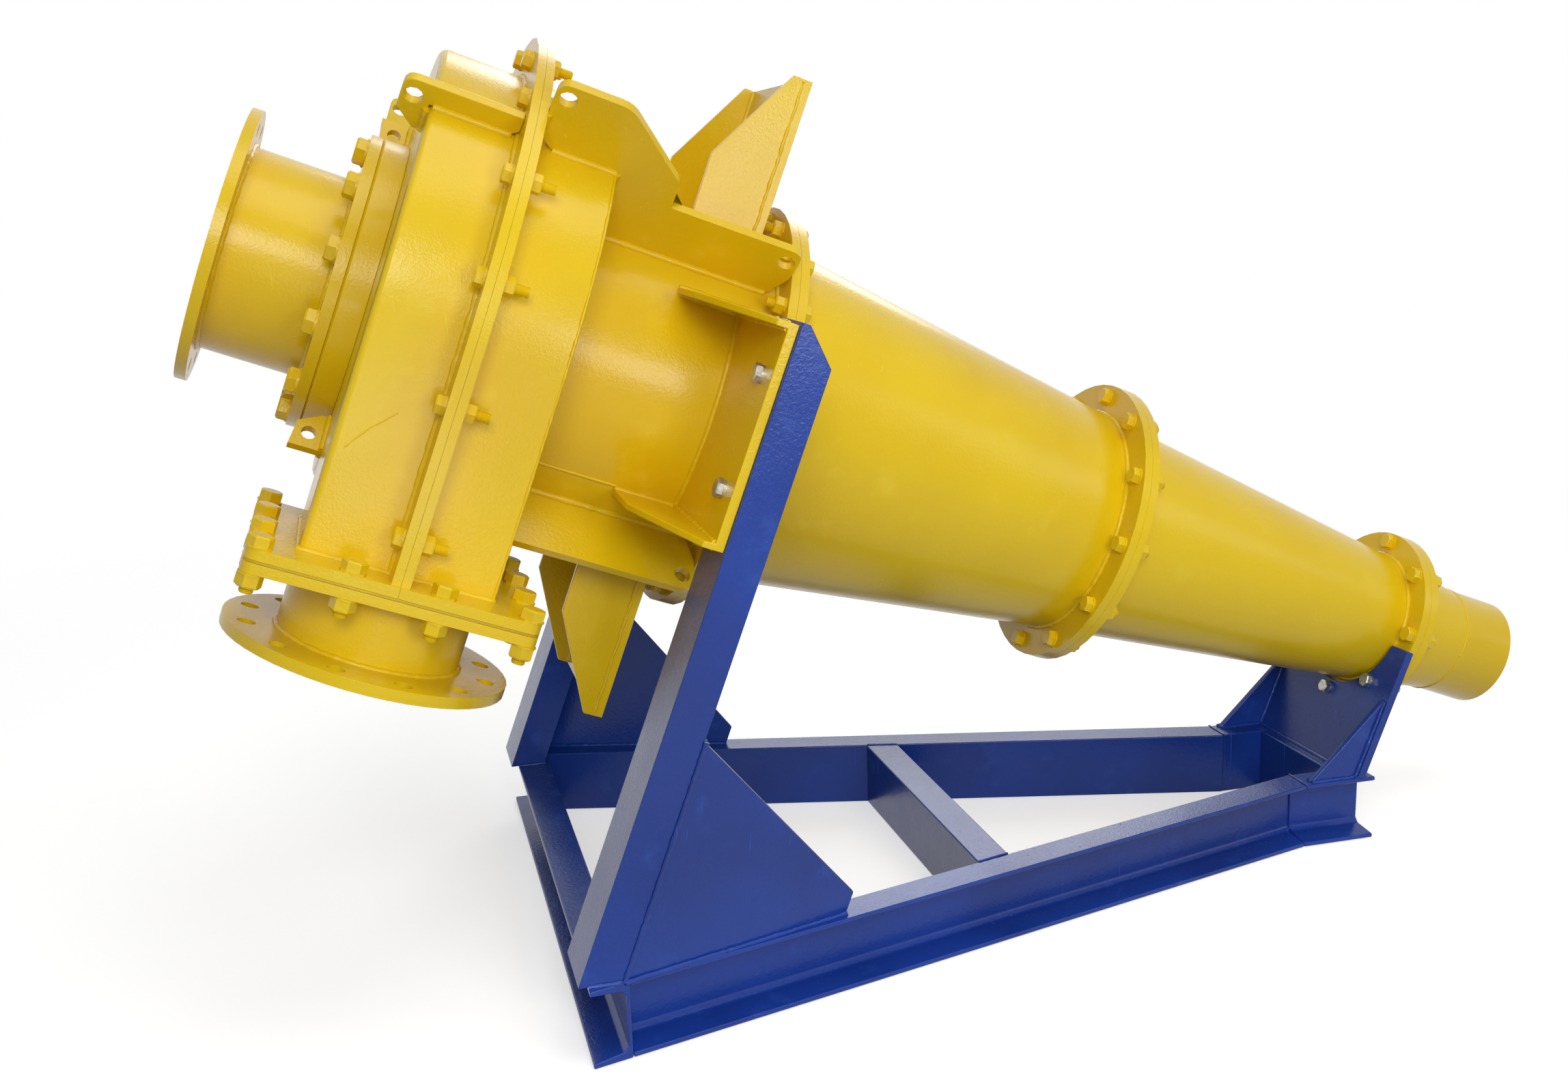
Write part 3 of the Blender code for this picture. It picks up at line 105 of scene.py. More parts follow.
class Finish:
    def __init__(self, name):
        self.material = bpy.data.materials.new(name)
        self.material.use_nodes = True
        self.tree = self.material.node_tree
        self.tree.nodes.clear()
        self.where = self.node("ShaderNodeTexCoord").outputs["Object"]

    def node(self, kind, settings=None, sockets=None):
        given = {}
        for name, value in (sockets or {}).items():
            given[name] = value.socket if isinstance(value, Field) else value
        return addNode(self.tree, kind, settings, given)

    def noise(self, scale, detail=2.0, stretch=(1, 1, 1), roughness=0.5, turn=(0, 0, 0)):
        # Grain of about one over scale metres, drawn out along the axes with a small stretch
        spot = self.node(
            "ShaderNodeMapping", None, {"Vector": self.where, "Scale": stretch, "Rotation": turn}
        )
        sockets = {"Vector": spot.outputs[0], "Scale": scale, "Detail": detail, "Roughness": roughness}
        return Field(self, self.node("ShaderNodeTexNoise", None, sockets).outputs[0])

    def between(self, field, low, high):
        # Nought below low, one above high, smooth in between
        made = self.node(
            "ShaderNodeMapRange",
            {"interpolation_type": "SMOOTHSTEP", "clamp": True},
            {"Value": field, "From Min": low, "From Max": high},
        )
        return Field(self, made.outputs[0])

    def blend(self, share, first, second):
        made = self.node("ShaderNodeMix", {"data_type": "RGBA"}, {0: share, 6: first, 7: second})
        return made.outputs[2]

    def close(self, shaderSockets, bumps):
        # Bumps are (height field, depth in metres), laid over each other
        normal = None
        for height, depth in bumps:
            sockets = {"Height": height, "Distance": depth, "Strength": 1.0}
            if normal is not None:
                sockets["Normal"] = normal
            normal = self.node("ShaderNodeBump", None, sockets).outputs[0]
        if normal is not None:
            shaderSockets["Normal"] = normal
        shader = self.node("ShaderNodeBsdfPrincipled", None, shaderSockets)
        output = self.node("ShaderNodeOutputMaterial")
        self.tree.links.new(shader.outputs[0], output.inputs[0])
        return self.material


yellowPaint = {
    "body": (0.800, 0.550, 0.006, 1),
    "thick": (0.730, 0.480, 0.004, 1),
    "thin": (0.830, 0.610, 0.030, 1),
    "dirt": (0.42, 0.28, 0.05, 1),
    "gloss": 0.21,
    "peelDepth": 0.00028,
    "waveDepth": 0.0014,
}
bluePaint = {
    "body": (0.011, 0.050, 0.325, 1),
    "thick": (0.007, 0.034, 0.235, 1),
    "thin": (0.026, 0.088, 0.420, 1),
    "dirt": (0.05, 0.08, 0.15, 1),
    "gloss": 0.21,
    "peelDepth": 0.00028,
    "waveDepth": 0.0010,
}

# What both paints share. A grain is a noise scale, of about one over metres. A range is where that noise
# brings the effect in, and a share is how strong it gets
paintFilm = {
    "thickGrain": 3.2,
    "thickRange": (0.38, 0.68),
    "thinGrain": 17.0,
    "thinRange": (0.56, 0.78),
    "thinShare": 0.55,
    "scratchGrain": 150.0,
    "scratchRange": (0.735, 0.76),
    "scratchStretch": (1.0, 1.0, 0.03),
    "scratchTurn": (0.5, 0.9, 0.2),
    "scratchShare": 0.5,
    "scratchPlaceGrain": 2.6,
    "scratchPlaceRange": (0.52, 0.62),
    "speckGrain": 210.0,
    "speckRange": (0.74, 0.80),
    "speckShare": 0.3,
    "speckPlaceGrain": 5.0,
    "speckPlaceRange": (0.55, 0.70),
    "peelGrain": 430.0,
    "peelShare": 0.9,
    "rippleGrain": 190.0,
    "waveGrain": 9.0,
    "evenGloss": 0.05,
    "patchRoughness": 0.14,
    "scratchRoughness": 0.25,
    "clearCoat": 0.07,
    "clearCoatRoughness": 0.10,
    "specular": 0.27,
}


def enamel(name, paint, grain=1.0):
    # Sprayed enamel: orange peel, slow waves in the plate, thicker and thinner coats, fine scratches and dust
    finish = Finish(name)
    film = paintFilm
    clouds = finish.noise(film["thickGrain"], 3.0)
    patches = finish.noise(film["thinGrain"], 4.0, roughness=0.6)
    thin = finish.between(patches, *film["thinRange"])
    scratchLine = finish.noise(film["scratchGrain"], 1.0, film["scratchStretch"], turn=film["scratchTurn"])
    scratchPlace = finish.between(finish.noise(film["scratchPlaceGrain"], 1.0), *film["scratchPlaceRange"])
    scratch = finish.between(scratchLine, *film["scratchRange"]) * scratchPlace
    speckPlace = finish.between(finish.noise(film["speckPlaceGrain"]), *film["speckPlaceRange"])
    speck = finish.between(finish.noise(film["speckGrain"], 2.0), *film["speckRange"]) * speckPlace
    coat = finish.blend(finish.between(clouds, *film["thickRange"]), paint["body"], paint["thick"])
    coat = finish.blend(thin * film["thinShare"], coat, paint["thin"])
    coat = finish.blend(scratch * film["scratchShare"], coat, paint["thin"])
    coat = finish.blend(speck * film["speckShare"], coat, paint["dirt"])
    worn = patches * film["patchRoughness"] + scratch * film["scratchRoughness"]
    peel = finish.noise(film["peelGrain"] * grain, 2.0)
    ripple = finish.noise(film["rippleGrain"] * grain, 1.0)
    waves = finish.noise(film["waveGrain"], 1.0)
    sockets = {
        "Base Color": coat,
        "Roughness": paint["gloss"] - film["evenGloss"] + worn,
        "Coat Weight": film["clearCoat"],
        "Coat Roughness": film["clearCoatRoughness"],
        "Specular IOR Level": film["specular"],
    }
    bumps = [(waves, paint["waveDepth"]), (ripple + peel * film["peelShare"], paint["peelDepth"])]
    return finish.close(sockets, bumps)


# Bumps are (noise scale, depth in metres)
rubberLining = {
    "body": (0.022, 0.022, 0.024, 1),
    "bloom": (0.060, 0.058, 0.055, 1),
    "bloomGrain": 14.0,
    "bloomRange": (0.45, 0.75),
    "bloomShare": 0.7,
    "roughness": 0.55,
    "bloomRoughness": 0.15,
    "bumps": ((420.0, 0.00015), (30.0, 0.0006)),
}


def rubber(name, lining):
    finish = Finish(name)
    bloom = finish.between(finish.noise(lining["bloomGrain"], 4.0), *lining["bloomRange"])
    sockets = {
        "Base Color": finish.blend(bloom * lining["bloomShare"], lining["body"], lining["bloom"]),
        "Roughness": lining["roughness"] + bloom * lining["bloomRoughness"],
    }
    return finish.close(sockets, [(finish.noise(grain, 2.0), depth) for grain, depth in lining["bumps"]])


zincPlate = {
    "bright": (0.56, 0.56, 0.53, 1),
    "dull": (0.33, 0.33, 0.31, 1),
    "dullGrain": 90.0,
    "dullRange": (0.42, 0.66),
    "straw": (0.50, 0.46, 0.34, 1),
    "strawGrain": 40.0,
    "strawRange": (0.52, 0.7),
    "strawShare": 0.5,
    "roughness": 0.34,
    "dullRoughness": 0.2,
    "bumps": ((600.0, 0.00012),),
}


def zinc(name, plate):
    finish = Finish(name)
    dull = finish.between(finish.noise(plate["dullGrain"], 3.0), *plate["dullRange"])
    straw = finish.between(finish.noise(plate["strawGrain"], 2.0), *plate["strawRange"])
    colour = finish.blend(dull, plate["bright"], plate["dull"])
    sockets = {
        "Base Color": finish.blend(straw * plate["strawShare"], colour, plate["straw"]),
        "Roughness": plate["roughness"] + dull * plate["dullRoughness"],
        "Metallic": 1.0,
    }
    return finish.close(sockets, [(finish.noise(grain, 2.0), depth) for grain, depth in plate["bumps"]])


finishes = {
    "yellow_paint": enamel("yellowEnamel", yellowPaint),
    "blue_paint": enamel("blueEnamel", bluePaint),
    "lining_rubber": rubber("liningRubber", rubberLining),
    "zinc_steel": zinc("zincPlatedSteel", zincPlate),
}
weldFinishes = {
    "yellow_paint": enamel("yellowWeldEnamel", dict(yellowPaint, gloss=0.20, waveDepth=0.0004), 1.6),
    "blue_paint": enamel("blueWeldEnamel", dict(bluePaint, gloss=0.18, waveDepth=0.0004), 1.6),
}
gasketPaint = dict(yellowPaint, body=(0.62, 0.40, 0.008, 1), thick=(0.45, 0.27, 0.006, 1))
gasketFinish = enamel("paintedGasketEdge", gasketPaint)
print("finishes made:", len(finishes) + len(weldFinishes) + 1)

# Plates, shells and channels: each takes its CAD node's shape, with its edges rounded off by these widths
edges = {
    "yellow_paint": 0.0013,
    "blue_paint": 0.0018,
    "lining_rubber": 0.0010,
    "channel": 0.0021,
    "creaseAngle": math.radians(38),
    "flatAngle": math.radians(0.6),
    "mergeGap": 0.00002,
}


def newObject(name, mesh, material):
    piece = bpy.data.objects.new(name, mesh)
    bpy.context.scene.collection.objects.link(piece)
    mesh.materials.clear()
    mesh.materials.append(material)
    return piece


# The stepped outline of the upper barrel lugs: each corner's (station, radius) in the solids, then here
lugCut = {
    "hands": {"barrel_lug_upper_front": 1, "barrel_lug_upper_back": -1},
    "angle": math.radians(45),
    "near": 0.0018,
    "moves": (
        ((0.4826, 0.3638), (0.4880, 0.3662)),
        ((0.4876, 0.3582), (0.4926, 0.3622)),
        ((0.4921, 0.3523), (0.4952, 0.3560)),
        ((0.4960, 0.3461), (0.4975, 0.3282)),
        ((0.4995, 0.3395), (0.4983, 0.3208)),
        ((0.5081, 0.3211), (0.5120, 0.3204)),
    ),
}


def cutLug(work, hand):
    outWay = radialSpot(0, 1, hand * lugCut["angle"]) - place(0, 0, 0)
    moved = 0
    for vertex in work.verts:
        spot = vertex.co - place(0, 0, 0)
        station, radius = spot.dot(axisWay), spot.dot(outWay)
        for (oldStation, oldRadius), (newStation, newRadius) in lugCut["moves"]:
            if math.hypot(station - oldStation, radius - oldRadius) < lugCut["near"]:
                vertex.co += axisWay * (newStation - oldStation) + outWay * (newRadius - oldRadius)
                moved += 1
                break
    print("lug corners moved:", moved)


def roundedSkin(node, width, material):
    work = bmesh.new()
    work.from_mesh(frame["nodes"][node].data)
    bmesh.ops.remove_doubles(work, verts=work.verts, dist=edges["mergeGap"])
    bmesh.ops.dissolve_limit(work, angle_limit=edges["flatAngle"], verts=work.verts, edges=work.edges)
    if node in lugCut["hands"]:
        cutLug(work, lugCut["hands"][node])
    mesh = bpy.data.meshes.new(f"{node}_skin")
    work.to_mesh(mesh)
    work.free()
    mesh.shade_smooth()
    piece = newObject(f"{node}_skin", mesh, material)
    rounding = piece.modifiers.new("rounded edges", "BEVEL")
    rounding.width = width
    rounding.segments = 2
    rounding.limit_method = "ANGLE"
    rounding.angle_limit = edges["creaseAngle"]
    rounding.use_clamp_overlap = True
    rounding.harden_normals = False
    shading = piece.modifiers.new("even shading", "WEIGHTED_NORMAL")
    shading.keep_sharp = False
    shading.weight = 60
    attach(piece, "root")
    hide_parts(node)
    return piece


slotOf = {row["node"]: row["material_slot"] for row in frame["record"]["subparts"]}
channelNodes = {"long_beam_front", "long_beam_back", "left_cross_beam", "middle_cross_beam", "end_cross_beam"}
channelNodes |= {"end_stub_front", "end_stub_back", "upright_front", "upright_back"}
boltNodes = [node for node in slotOf if "_bolt_" in node]
for node, slotName in slotOf.items():
    if node in boltNodes:
        continue
    width = edges["channel"] if node in channelNodes else edges[slotName]
    material = gasketFinish if node == "feed_gasket" else finishes[slotName]
    roundedSkin(node, width, material)
print("skins made:", len(slotOf) - len(boltNodes))


# Geometry node trees
def newTree(name, inputs):
    tree = bpy.data.node_groups.new(name, "GeometryNodeTree")
    tree.interface.new_socket("Geometry", in_out="INPUT", socket_type="NodeSocketGeometry")
    for label, kind, value in inputs:
        socket = tree.interface.new_socket(label, in_out="INPUT", socket_type=kind)
        if value is not None:
            socket.default_value = value
    tree.interface.new_socket("Geometry", in_out="OUTPUT", socket_type="NodeSocketGeometry")
    return tree


def closeTree(tree, geometry, material):
    realized = addNode(tree, "GeometryNodeRealizeInstances", None, {0: geometry})
    coloured = addNode(
        tree,
        "GeometryNodeSetMaterial",
        None,
        {"Geometry": realized.outputs[0], "Material": material},
    )
    addNode(tree, "NodeGroupOutput", None, {0: coloured.outputs[0]})


def runTree(piece, tree, values):
    # The tree's result as a plain mesh in the same object
    modifier = piece.modifiers.new(tree.name, "NODES")
    modifier.node_group = tree
    for item in tree.interface.items_tree:
        if item.in_out == "INPUT" and item.name in values:
            modifier[item.identifier] = values[item.name]
    graph = bpy.context.evaluated_depsgraph_get()
    result = bpy.data.meshes.new_from_object(piece.evaluated_get(graph))
    piece.modifiers.clear()
    piece.data = result
    return piece


def boltTree():
    inputs = [
        ("Bolt", "NodeSocketObject", None),
        ("Axis", "NodeSocketVector", (0.0, 0.0, 1.0)),
        ("Turn", "NodeSocketFloat", 1.05),
        ("Seed", "NodeSocketInt", 3),
        ("Finish", "NodeSocketMaterial", None),
    ]
    tree = newTree("boltsOnPoints", inputs)
    given = addNode(tree, "NodeGroupInput").outputs
    bolt = addNode(tree, "GeometryNodeObjectInfo", None, {"Object": given["Bolt"]})
    along = addNode(tree, "FunctionNodeAlignRotationToVector", {"axis": "Z"}, {"Vector": given["Axis"]})
    chance = addNode(
        tree, "FunctionNodeRandomValue", {"data_type": "FLOAT"}, {3: given["Turn"], "Seed": given["Seed"]}
    )
    spin = addNode(tree, "ShaderNodeCombineXYZ", None, {"Z": chance.outputs[1]})
    spun = addNode(tree, "FunctionNodeEulerToRotation", None, {0: spin.outputs[0]})
    both = addNode(
        tree,
        "FunctionNodeRotateRotation",
        {"rotation_space": "LOCAL"},
        {0: along.outputs[0], 1: spun.outputs[0]},
    )
    placed = addNode(
        tree,
        "GeometryNodeInstanceOnPoints",
        None,
        {"Points": given[0], "Instance": bolt.outputs["Geometry"], "Rotation": both.outputs[0]},
    )
    closeTree(tree, placed.outputs[0], given["Finish"])
    return tree


def weldTree():
    inputs = [
        ("Bead Radius", "NodeSocketFloat", 0.004),
        ("Step", "NodeSocketFloat", 0.0032),
        ("Unevenness", "NodeSocketFloat", 0.22),
        ("Swell Grain", "NodeSocketFloat", 130.0),
        ("Wander", "NodeSocketFloat", 0.0012),
        ("Wander Grain", "NodeSocketFloat", 38.0),
        ("Sides", "NodeSocketInt", 8),
        ("Finish", "NodeSocketMaterial", None),
    ]
    tree = newTree("weldBeadOnPath", inputs)
    given = addNode(tree, "NodeGroupInput").outputs
    path = addNode(tree, "GeometryNodeMeshToCurve", None, {0: given[0]})
    stepped = addNode(
        tree,
        "GeometryNodeResampleCurve",
        {"mode": "LENGTH"},
        {"Curve": path.outputs[0], "Length": given["Step"]},
    )
    # The bead swells and thins round its even radius
    spot = addNode(tree, "GeometryNodeInputPosition").outputs[0]
    grain = addNode(
        tree, "ShaderNodeTexNoise", None, {"Vector": spot, "Scale": given["Swell Grain"], "Detail": 1.0}
    )
    swell = addNode(tree, "ShaderNodeMath", {"operation": "SUBTRACT"}, {0: grain.outputs[0], 1: 0.5})
    share = addNode(
        tree, "ShaderNodeMath", {"operation": "MULTIPLY"}, {0: swell.outputs[0], 1: given["Unevenness"]}
    )
    factor = addNode(
        tree, "ShaderNodeMath", {"operation": "MULTIPLY_ADD"}, {0: share.outputs[0], 1: 4.0, 2: 1.0}
    )
    sized = addNode(
        tree, "GeometryNodeSetCurveRadius", None, {"Curve": stepped.outputs[0], "Radius": factor.outputs[0]}
    )
    # And it strays a little from its path
    drift = addNode(
        tree, "ShaderNodeTexNoise", None, {"Vector": spot, "Scale": given["Wander Grain"], "Detail": 2.0}
    )
    centred = addNode(
        tree, "ShaderNodeVectorMath", {"operation": "SUBTRACT"}, {0: drift.outputs[1], 1: (0.5, 0.5, 0.5)}
    )
    strayed = addNode(
        tree,
        "ShaderNodeVectorMath",
        {"operation": "SCALE"},
        {0: centred.outputs[0], "Scale": given["Wander"]},
    )
    moved = addNode(
        tree, "GeometryNodeSetPosition", None, {"Geometry": sized.outputs[0], "Offset": strayed.outputs[0]}
    )
    ring = addNode(
        tree,
        "GeometryNodeCurvePrimitiveCircle",
        {"mode": "RADIUS"},
        {"Resolution": given["Sides"], "Radius": given["Bead Radius"]},
    )
    bead = addNode(
        tree,
        "GeometryNodeCurveToMesh",
        None,
        {"Curve": moved.outputs[0], "Profile Curve": ring.outputs[0], "Fill Caps": True},
    )
    if "Scale" in bead.inputs:
        reach = addNode(tree, "GeometryNodeInputRadius").outputs[0]
        tree.links.new(reach, bead.inputs["Scale"])
    smooth = addNode(tree, "GeometryNodeSetShadeSmooth", None, {0: bead.outputs[0]})
    closeTree(tree, smooth.outputs[0], given["Finish"])
    return tree


# Bolts: one pattern bolt for each size and grip, set on its points. Shank, flats and washer are radii
boltSizes = {
    "slim": {
        "shank": 0.0060, "flats": 0.0096, "head": 0.0080, "nut": 0.0104, "washer": 0.0102, "sheet": 0.0030
    },
    "bracket": {
        "shank": 0.0064, "flats": 0.0108, "head": 0.0076, "nut": 0.0110, "washer": 0.0114, "sheet": 0.0034
    },
    "small": {
        "shank": 0.0066, "flats": 0.0106, "head": 0.0092, "nut": 0.0115, "washer": 0.0130, "sheet": 0.0024
    },
    "medium": {
        "shank": 0.0084, "flats": 0.0132, "head": 0.0120, "nut": 0.0145, "washer": 0.0150, "sheet": 0.0026
    },
    "large": {
        "shank": 0.0096, "flats": 0.0148, "head": 0.0125, "nut": 0.0160, "washer": 0.0182, "sheet": 0.0030
    },
}
# All sizes share these: chamfer and rim are shares of the flats, the thread's valley and tip of the shank
boltShape = {"sides": 12, "chamfer": 0.16, "rim": 0.96, "pitch": 0.0018, "valley": 0.88, "tip": 0.85}


def boltRing(work, height, radius, sixSided):
    ring = []
    for step in range(boltShape["sides"]):
        reach = radius / math.cos(math.pi / 6) if sixSided and step % 2 else radius
        turn = 2 * math.pi * step / boltShape["sides"]
        ring.append(work.verts.new((reach * math.cos(turn), reach * math.sin(turn), height)))
    return ring


def stack(work, levels):
    rings = [boltRing(work, *level) for level in levels]
    for lower, upper in zip(rings, rings[1:]):
        for step in range(boltShape["sides"]):
            follower = (step + 1) % boltShape["sides"]
            work.faces.new((lower[step], lower[follower], upper[follower], upper[step]))
    work.faces.new(rings[0][::-1])
    work.faces.new(rings[-1])


def patternBolt(size, grip, hasNut, stud):
    # Points along Z: the head sits under zero, the nut above the grip, and the thread shows past the nut
    work = bmesh.new()
    washer = size["sheet"]
    flats, shank = size["flats"], size["shank"]
    rim = flats * boltShape["rim"]
    chamfer = flats * boltShape["chamfer"]
    seat = -washer
    stack(work, [(seat, size["washer"], False), (0.0, size["washer"], False)])
    top = seat - size["head"]
    stack(work, [(top, rim, False), (top + chamfer, flats, True), (seat, flats, True)])
    if hasNut:
        start = grip + washer
        stack(work, [(grip, size["washer"], False), (start, size["washer"], False)])
        end = start + size["nut"]
        stack(work, [(start, flats, True), (end - chamfer, flats, True), (end, rim, False)])
        levels = [(end - chamfer, shank, False)]
        turns = max(3, round(stud / boltShape["pitch"]))
        for step in range(turns):
            height = end + stud * step / turns
            levels.append((height, shank, False))
            levels.append((height + stud / turns / 2, shank * boltShape["valley"], False))
        levels.append((end + stud, shank * boltShape["tip"], False))
        stack(work, levels)
    mesh = bpy.data.meshes.new("patternBolt")
    work.to_mesh(mesh)
    work.free()
    mesh.set_sharp_from_angle(angle=math.radians(30))
    pattern = bpy.data.objects.new("patternBolt", mesh)
    bpy.context.scene.collection.objects.link(pattern)
    return pattern


boltsOnPoints = boltTree()


def boltSet(name, points, axis, size, grip, slotName, hasNut=True, stud=0.009, seed=3, stands=()):
    # One set of bolts on its points. Stands lists the CAD bolts that it takes the place of
    pattern = patternBolt(boltSizes[size], grip, hasNut, stud)
    mesh = bpy.data.meshes.new(name)
    mesh.from_pydata(points, [], [])
    piece = bpy.data.objects.new(name, mesh)
    bpy.context.scene.collection.objects.link(piece)
    values = {"Bolt": pattern, "Axis": axis, "Seed": seed, "Finish": finishes[slotName]}
    runTree(piece, boltsOnPoints, values)
    bpy.data.objects.remove(pattern)
    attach(piece, "root")
    if stands:
        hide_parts(*stands)
    return piece


# The scroll's outline, as in the solids
scroll = {
    "front": 0.350,
    "step": 0.025,
    "rear": 0.160,
    "reach": 0.280,
    "roof": 0.1933,
    "split": 0.3090,
    "splitGap": 0.0003,
    "floor": 0.4203,
    "lip": 0.052,
    "lipThickness": 0.0105,
    "lipLevels": (0.232, 0.074),
    "lipFirst": math.radians(12),
    "lipTurn": math.radians(21),
    "lipRear": 0.099,
}


def scrollArc(quarter):
    centres = ((-scroll["step"], 0.0), (-scroll["step"], scroll["step"]), (0.0, scroll["step"]), (0.0, 0.0))
    side, up = centres[quarter]
    return side, up, scroll["front"] - scroll["step"] * (quarter + 1)


def scrollSpot(turn, offset):
    side, up, radius = scrollArc(min(int(turn // quarterTurn), 3))
    reach = radius + offset
    return up + reach * math.sin(turn), side - reach * math.cos(turn)


def scrollEnd(offset, rear):
    return 3 * quarterTurn + math.asin(rear / (scrollArc(3)[2] + offset))


def scrollPath(station, offset, rear, steps=120):
    last = scrollEnd(offset, rear)
    points = [place(station, -scroll["reach"], -scroll["front"] - offset)]
    points += [place(station, *scrollSpot(last * step / steps, offset)) for step in range(steps + 1)]
    points.append(place(station, -scroll["reach"], -rear))
    return points


def lipBoltSpots(station):
    middle = scroll["lip"] / 2
    spots = [place(station, -level, -scroll["front"] - middle) for level in scroll["lipLevels"]]
    turn = scroll["lipFirst"]
    while turn < scrollEnd(middle, scroll["lipRear"]):
        spots.append(place(station, *scrollSpot(turn, middle)))
        turn += scroll["lipTurn"]
    return spots


# Stations of the flanges' faces and seams, from the face of the overflow flange
stations = {
    "overflowFlange": 0.0140,
    "adapter": 0.1445,
    "barrelEnd": 0.6883,
    "coneTop": 0.6886,
    "midLeft": 1.2546,
    "midRight": 1.2789,
    "saddle": 1.8013,
    "lowLeft": 1.8136,
    "lowRight": 1.8399,
    "spigotSeam": 1.9519,
}
# Bolt circles of the flanges, and the thickness that the bolts clamp
flanges = {
    "headThickness": 0.012,
    "adapter": {"count": 12, "circle": 0.175, "grip": 0.03},
    "head": {"count": 20, "circle": 0.264},
    "mid": {"count": 12, "circle": 0.1925, "grip": 0.0243},
    "low": {"count": 8, "circle": 0.126, "grip": 0.0263, "saddleGrip": 0.0386},
}


def flangeSpots(flange, station, first=0.0, skip=()):
    # The bolts' spots at this station, counted from the top, but for those whose number is skipped
    count, circle = flanges[flange]["count"], flanges[flange]["circle"]
    turns = [(step, first + 2 * math.pi * step / count) for step in range(count)]
    return [radialSpot(station, circle, turn) for step, turn in turns if step not in skip]


headLeft = stations["barrelEnd"] - flanges["headThickness"]
headGrip = 2 * flanges["headThickness"] + scroll["splitGap"]
lipGrip = 2 * scroll["lipThickness"] + scroll["splitGap"]
boltSet(
    "adapter_bolts",
    flangeSpots("adapter", stations["adapter"], math.pi / 12),
    axisWay,
    "large",
    flanges["adapter"]["grip"],
    "yellow_paint",
    hasNut=False,
)
boltSet(
    "lip_bolts",
    lipBoltSpots(scroll["split"] - scroll["lipThickness"]),
    axisWay,
    "small",
    lipGrip,
    "yellow_paint",
    stud=0.017,
    seed=5,
)
boltSet(
    "head_flange_bolts",
    flangeSpots("head", headLeft + headGrip),
    -axisWay,
    "small",
    headGrip,
    "yellow_paint",
    stud=0.010,
    seed=7,
)
boltSet(
    "mid_flange_bolts",
    flangeSpots("mid", stations["midLeft"]),
    axisWay,
    "small",
    flanges["mid"]["grip"],
    "yellow_paint",
    stud=0.005,
    seed=11,
)
boltSet(
    "low_flange_bolts",
    flangeSpots("low", stations["lowLeft"], skip=(3, 4, 5)),
    axisWay,
    "small",
    flanges["low"]["grip"],
    "yellow_paint",
    stud=0.005,
    seed=13,
)
feed = {
    "station": 0.3068,
    "side": -0.255,
    "halfLength": 0.1545,
    "halfDepth": 0.139,
    "top": 0.280,
    "grip": 0.0284,
    "pipeWeld": 0.1108,
    "pipeWeldDepths": (0.3092, 0.3886),
}
feedSpots = []
for row in range(4):
    for column in range(4):
        if row in (0, 3) or column in (0, 3):
            along = feed["station"] + feed["halfLength"] * (2 * column / 3 - 1)
            aside = feed["side"] + feed["halfDepth"] * (2 * row / 3 - 1)
            feedSpots.append(place(along, -feed["top"], aside))
boltSet(
    "feed_flange_bolts",
    feedSpots,
    -upWay,
    "medium",
    feed["grip"],
    "yellow_paint",
    stud=0.007,
    seed=17,
    stands=[node for node in boltNodes if node.startswith("feed")],
)
bracket = {
    "left": 0.6278,
    "right": 0.6398,
    "side": 0.395,
    "spacing": 0.140,
    "grip": 0.0176,
    "innerSide": 0.1284,
    "outerSide": 0.1364,
    "gussetStart": 0.545,
    "outerEnd": 0.638,
    "innerEnd": 0.626,
    "plateReach": 0.434,
    "jointStart": 0.004,
}
bracketSpots = [
    place(bracket["left"], level * bracket["spacing"] / 2, side * bracket["side"])
    for level in (-1, 1)
    for side in (-1, 1)
]
boltSet(
    "bracket_bolts",
    bracketSpots,
    axisWay,
    "bracket",
    bracket["grip"],
    "zinc_steel",
    stud=0.009,
    seed=19,
    stands=[node for node in boltNodes if node.startswith("bracket")],
)
boltSet(
    "saddle_bolts",
    flangeSpots("low", stations["saddle"], skip=(0, 1, 2, 6, 7)),
    axisWay,
    "slim",
    flanges["low"]["saddleGrip"],
    "zinc_steel",
    stud=0.006,
    seed=23,
    stands=[node for node in boltNodes if node.startswith("saddle")],
)
print("bolt sets made")

# Weld beads: radius, how far the bead wanders from its path, and its unevenness
beads = {
    "flange_welds": (0.0038, 0.0012, 0.22),
    "spigot_seam": (0.0022, 0.0008, 0.22),
    "scroll_welds": (0.0036, 0.0012, 0.22),
    "paint_marks": (0.0013, 0.0012, 0.40),
    "plate_seams": (0.0020, 0.0007, 0.30),
    "lug_welds": (0.0048, 0.0012, 0.22),
    "bracket_welds": (0.0040, 0.0012, 0.22),
    "bracket_joints": (0.0021, 0.0046, 0.50),
    "stand_welds": (0.0036, 0.0012, 0.22),
    "stand_seams": (0.0015, 0.0006, 0.22),
}
weldBeadOnPath = weldTree()


def weldSet(name, paths, slotName):
    points = []
    links = []
    for path, isClosed in paths:
        first = len(points)
        points += path
        links += [(first + step, first + step + 1) for step in range(len(path) - 1)]
        if isClosed:
            links.append((len(points) - 1, first))
    mesh = bpy.data.meshes.new(name)
    mesh.from_pydata(points, links, [])
    piece = bpy.data.objects.new(name, mesh)
    bpy.context.scene.collection.objects.link(piece)
    radius, wander, unevenness = beads[name]
    values = {
        "Bead Radius": radius,
        "Wander": wander,
        "Unevenness": unevenness,
        "Finish": weldFinishes[slotName],
    }
    runTree(piece, weldBeadOnPath, values)
    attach(piece, "root")
    return piece


def ringPath(station, radius, steps=96):
    return [radialSpot(station, radius, 2 * math.pi * step / steps) for step in range(steps)], True


def arcPath(station, radius, start, end, steps=24):
    turns = [start + (end - start) * step / steps for step in range(steps + 1)]
    return [radialSpot(station, radius, turn) for turn in turns], False


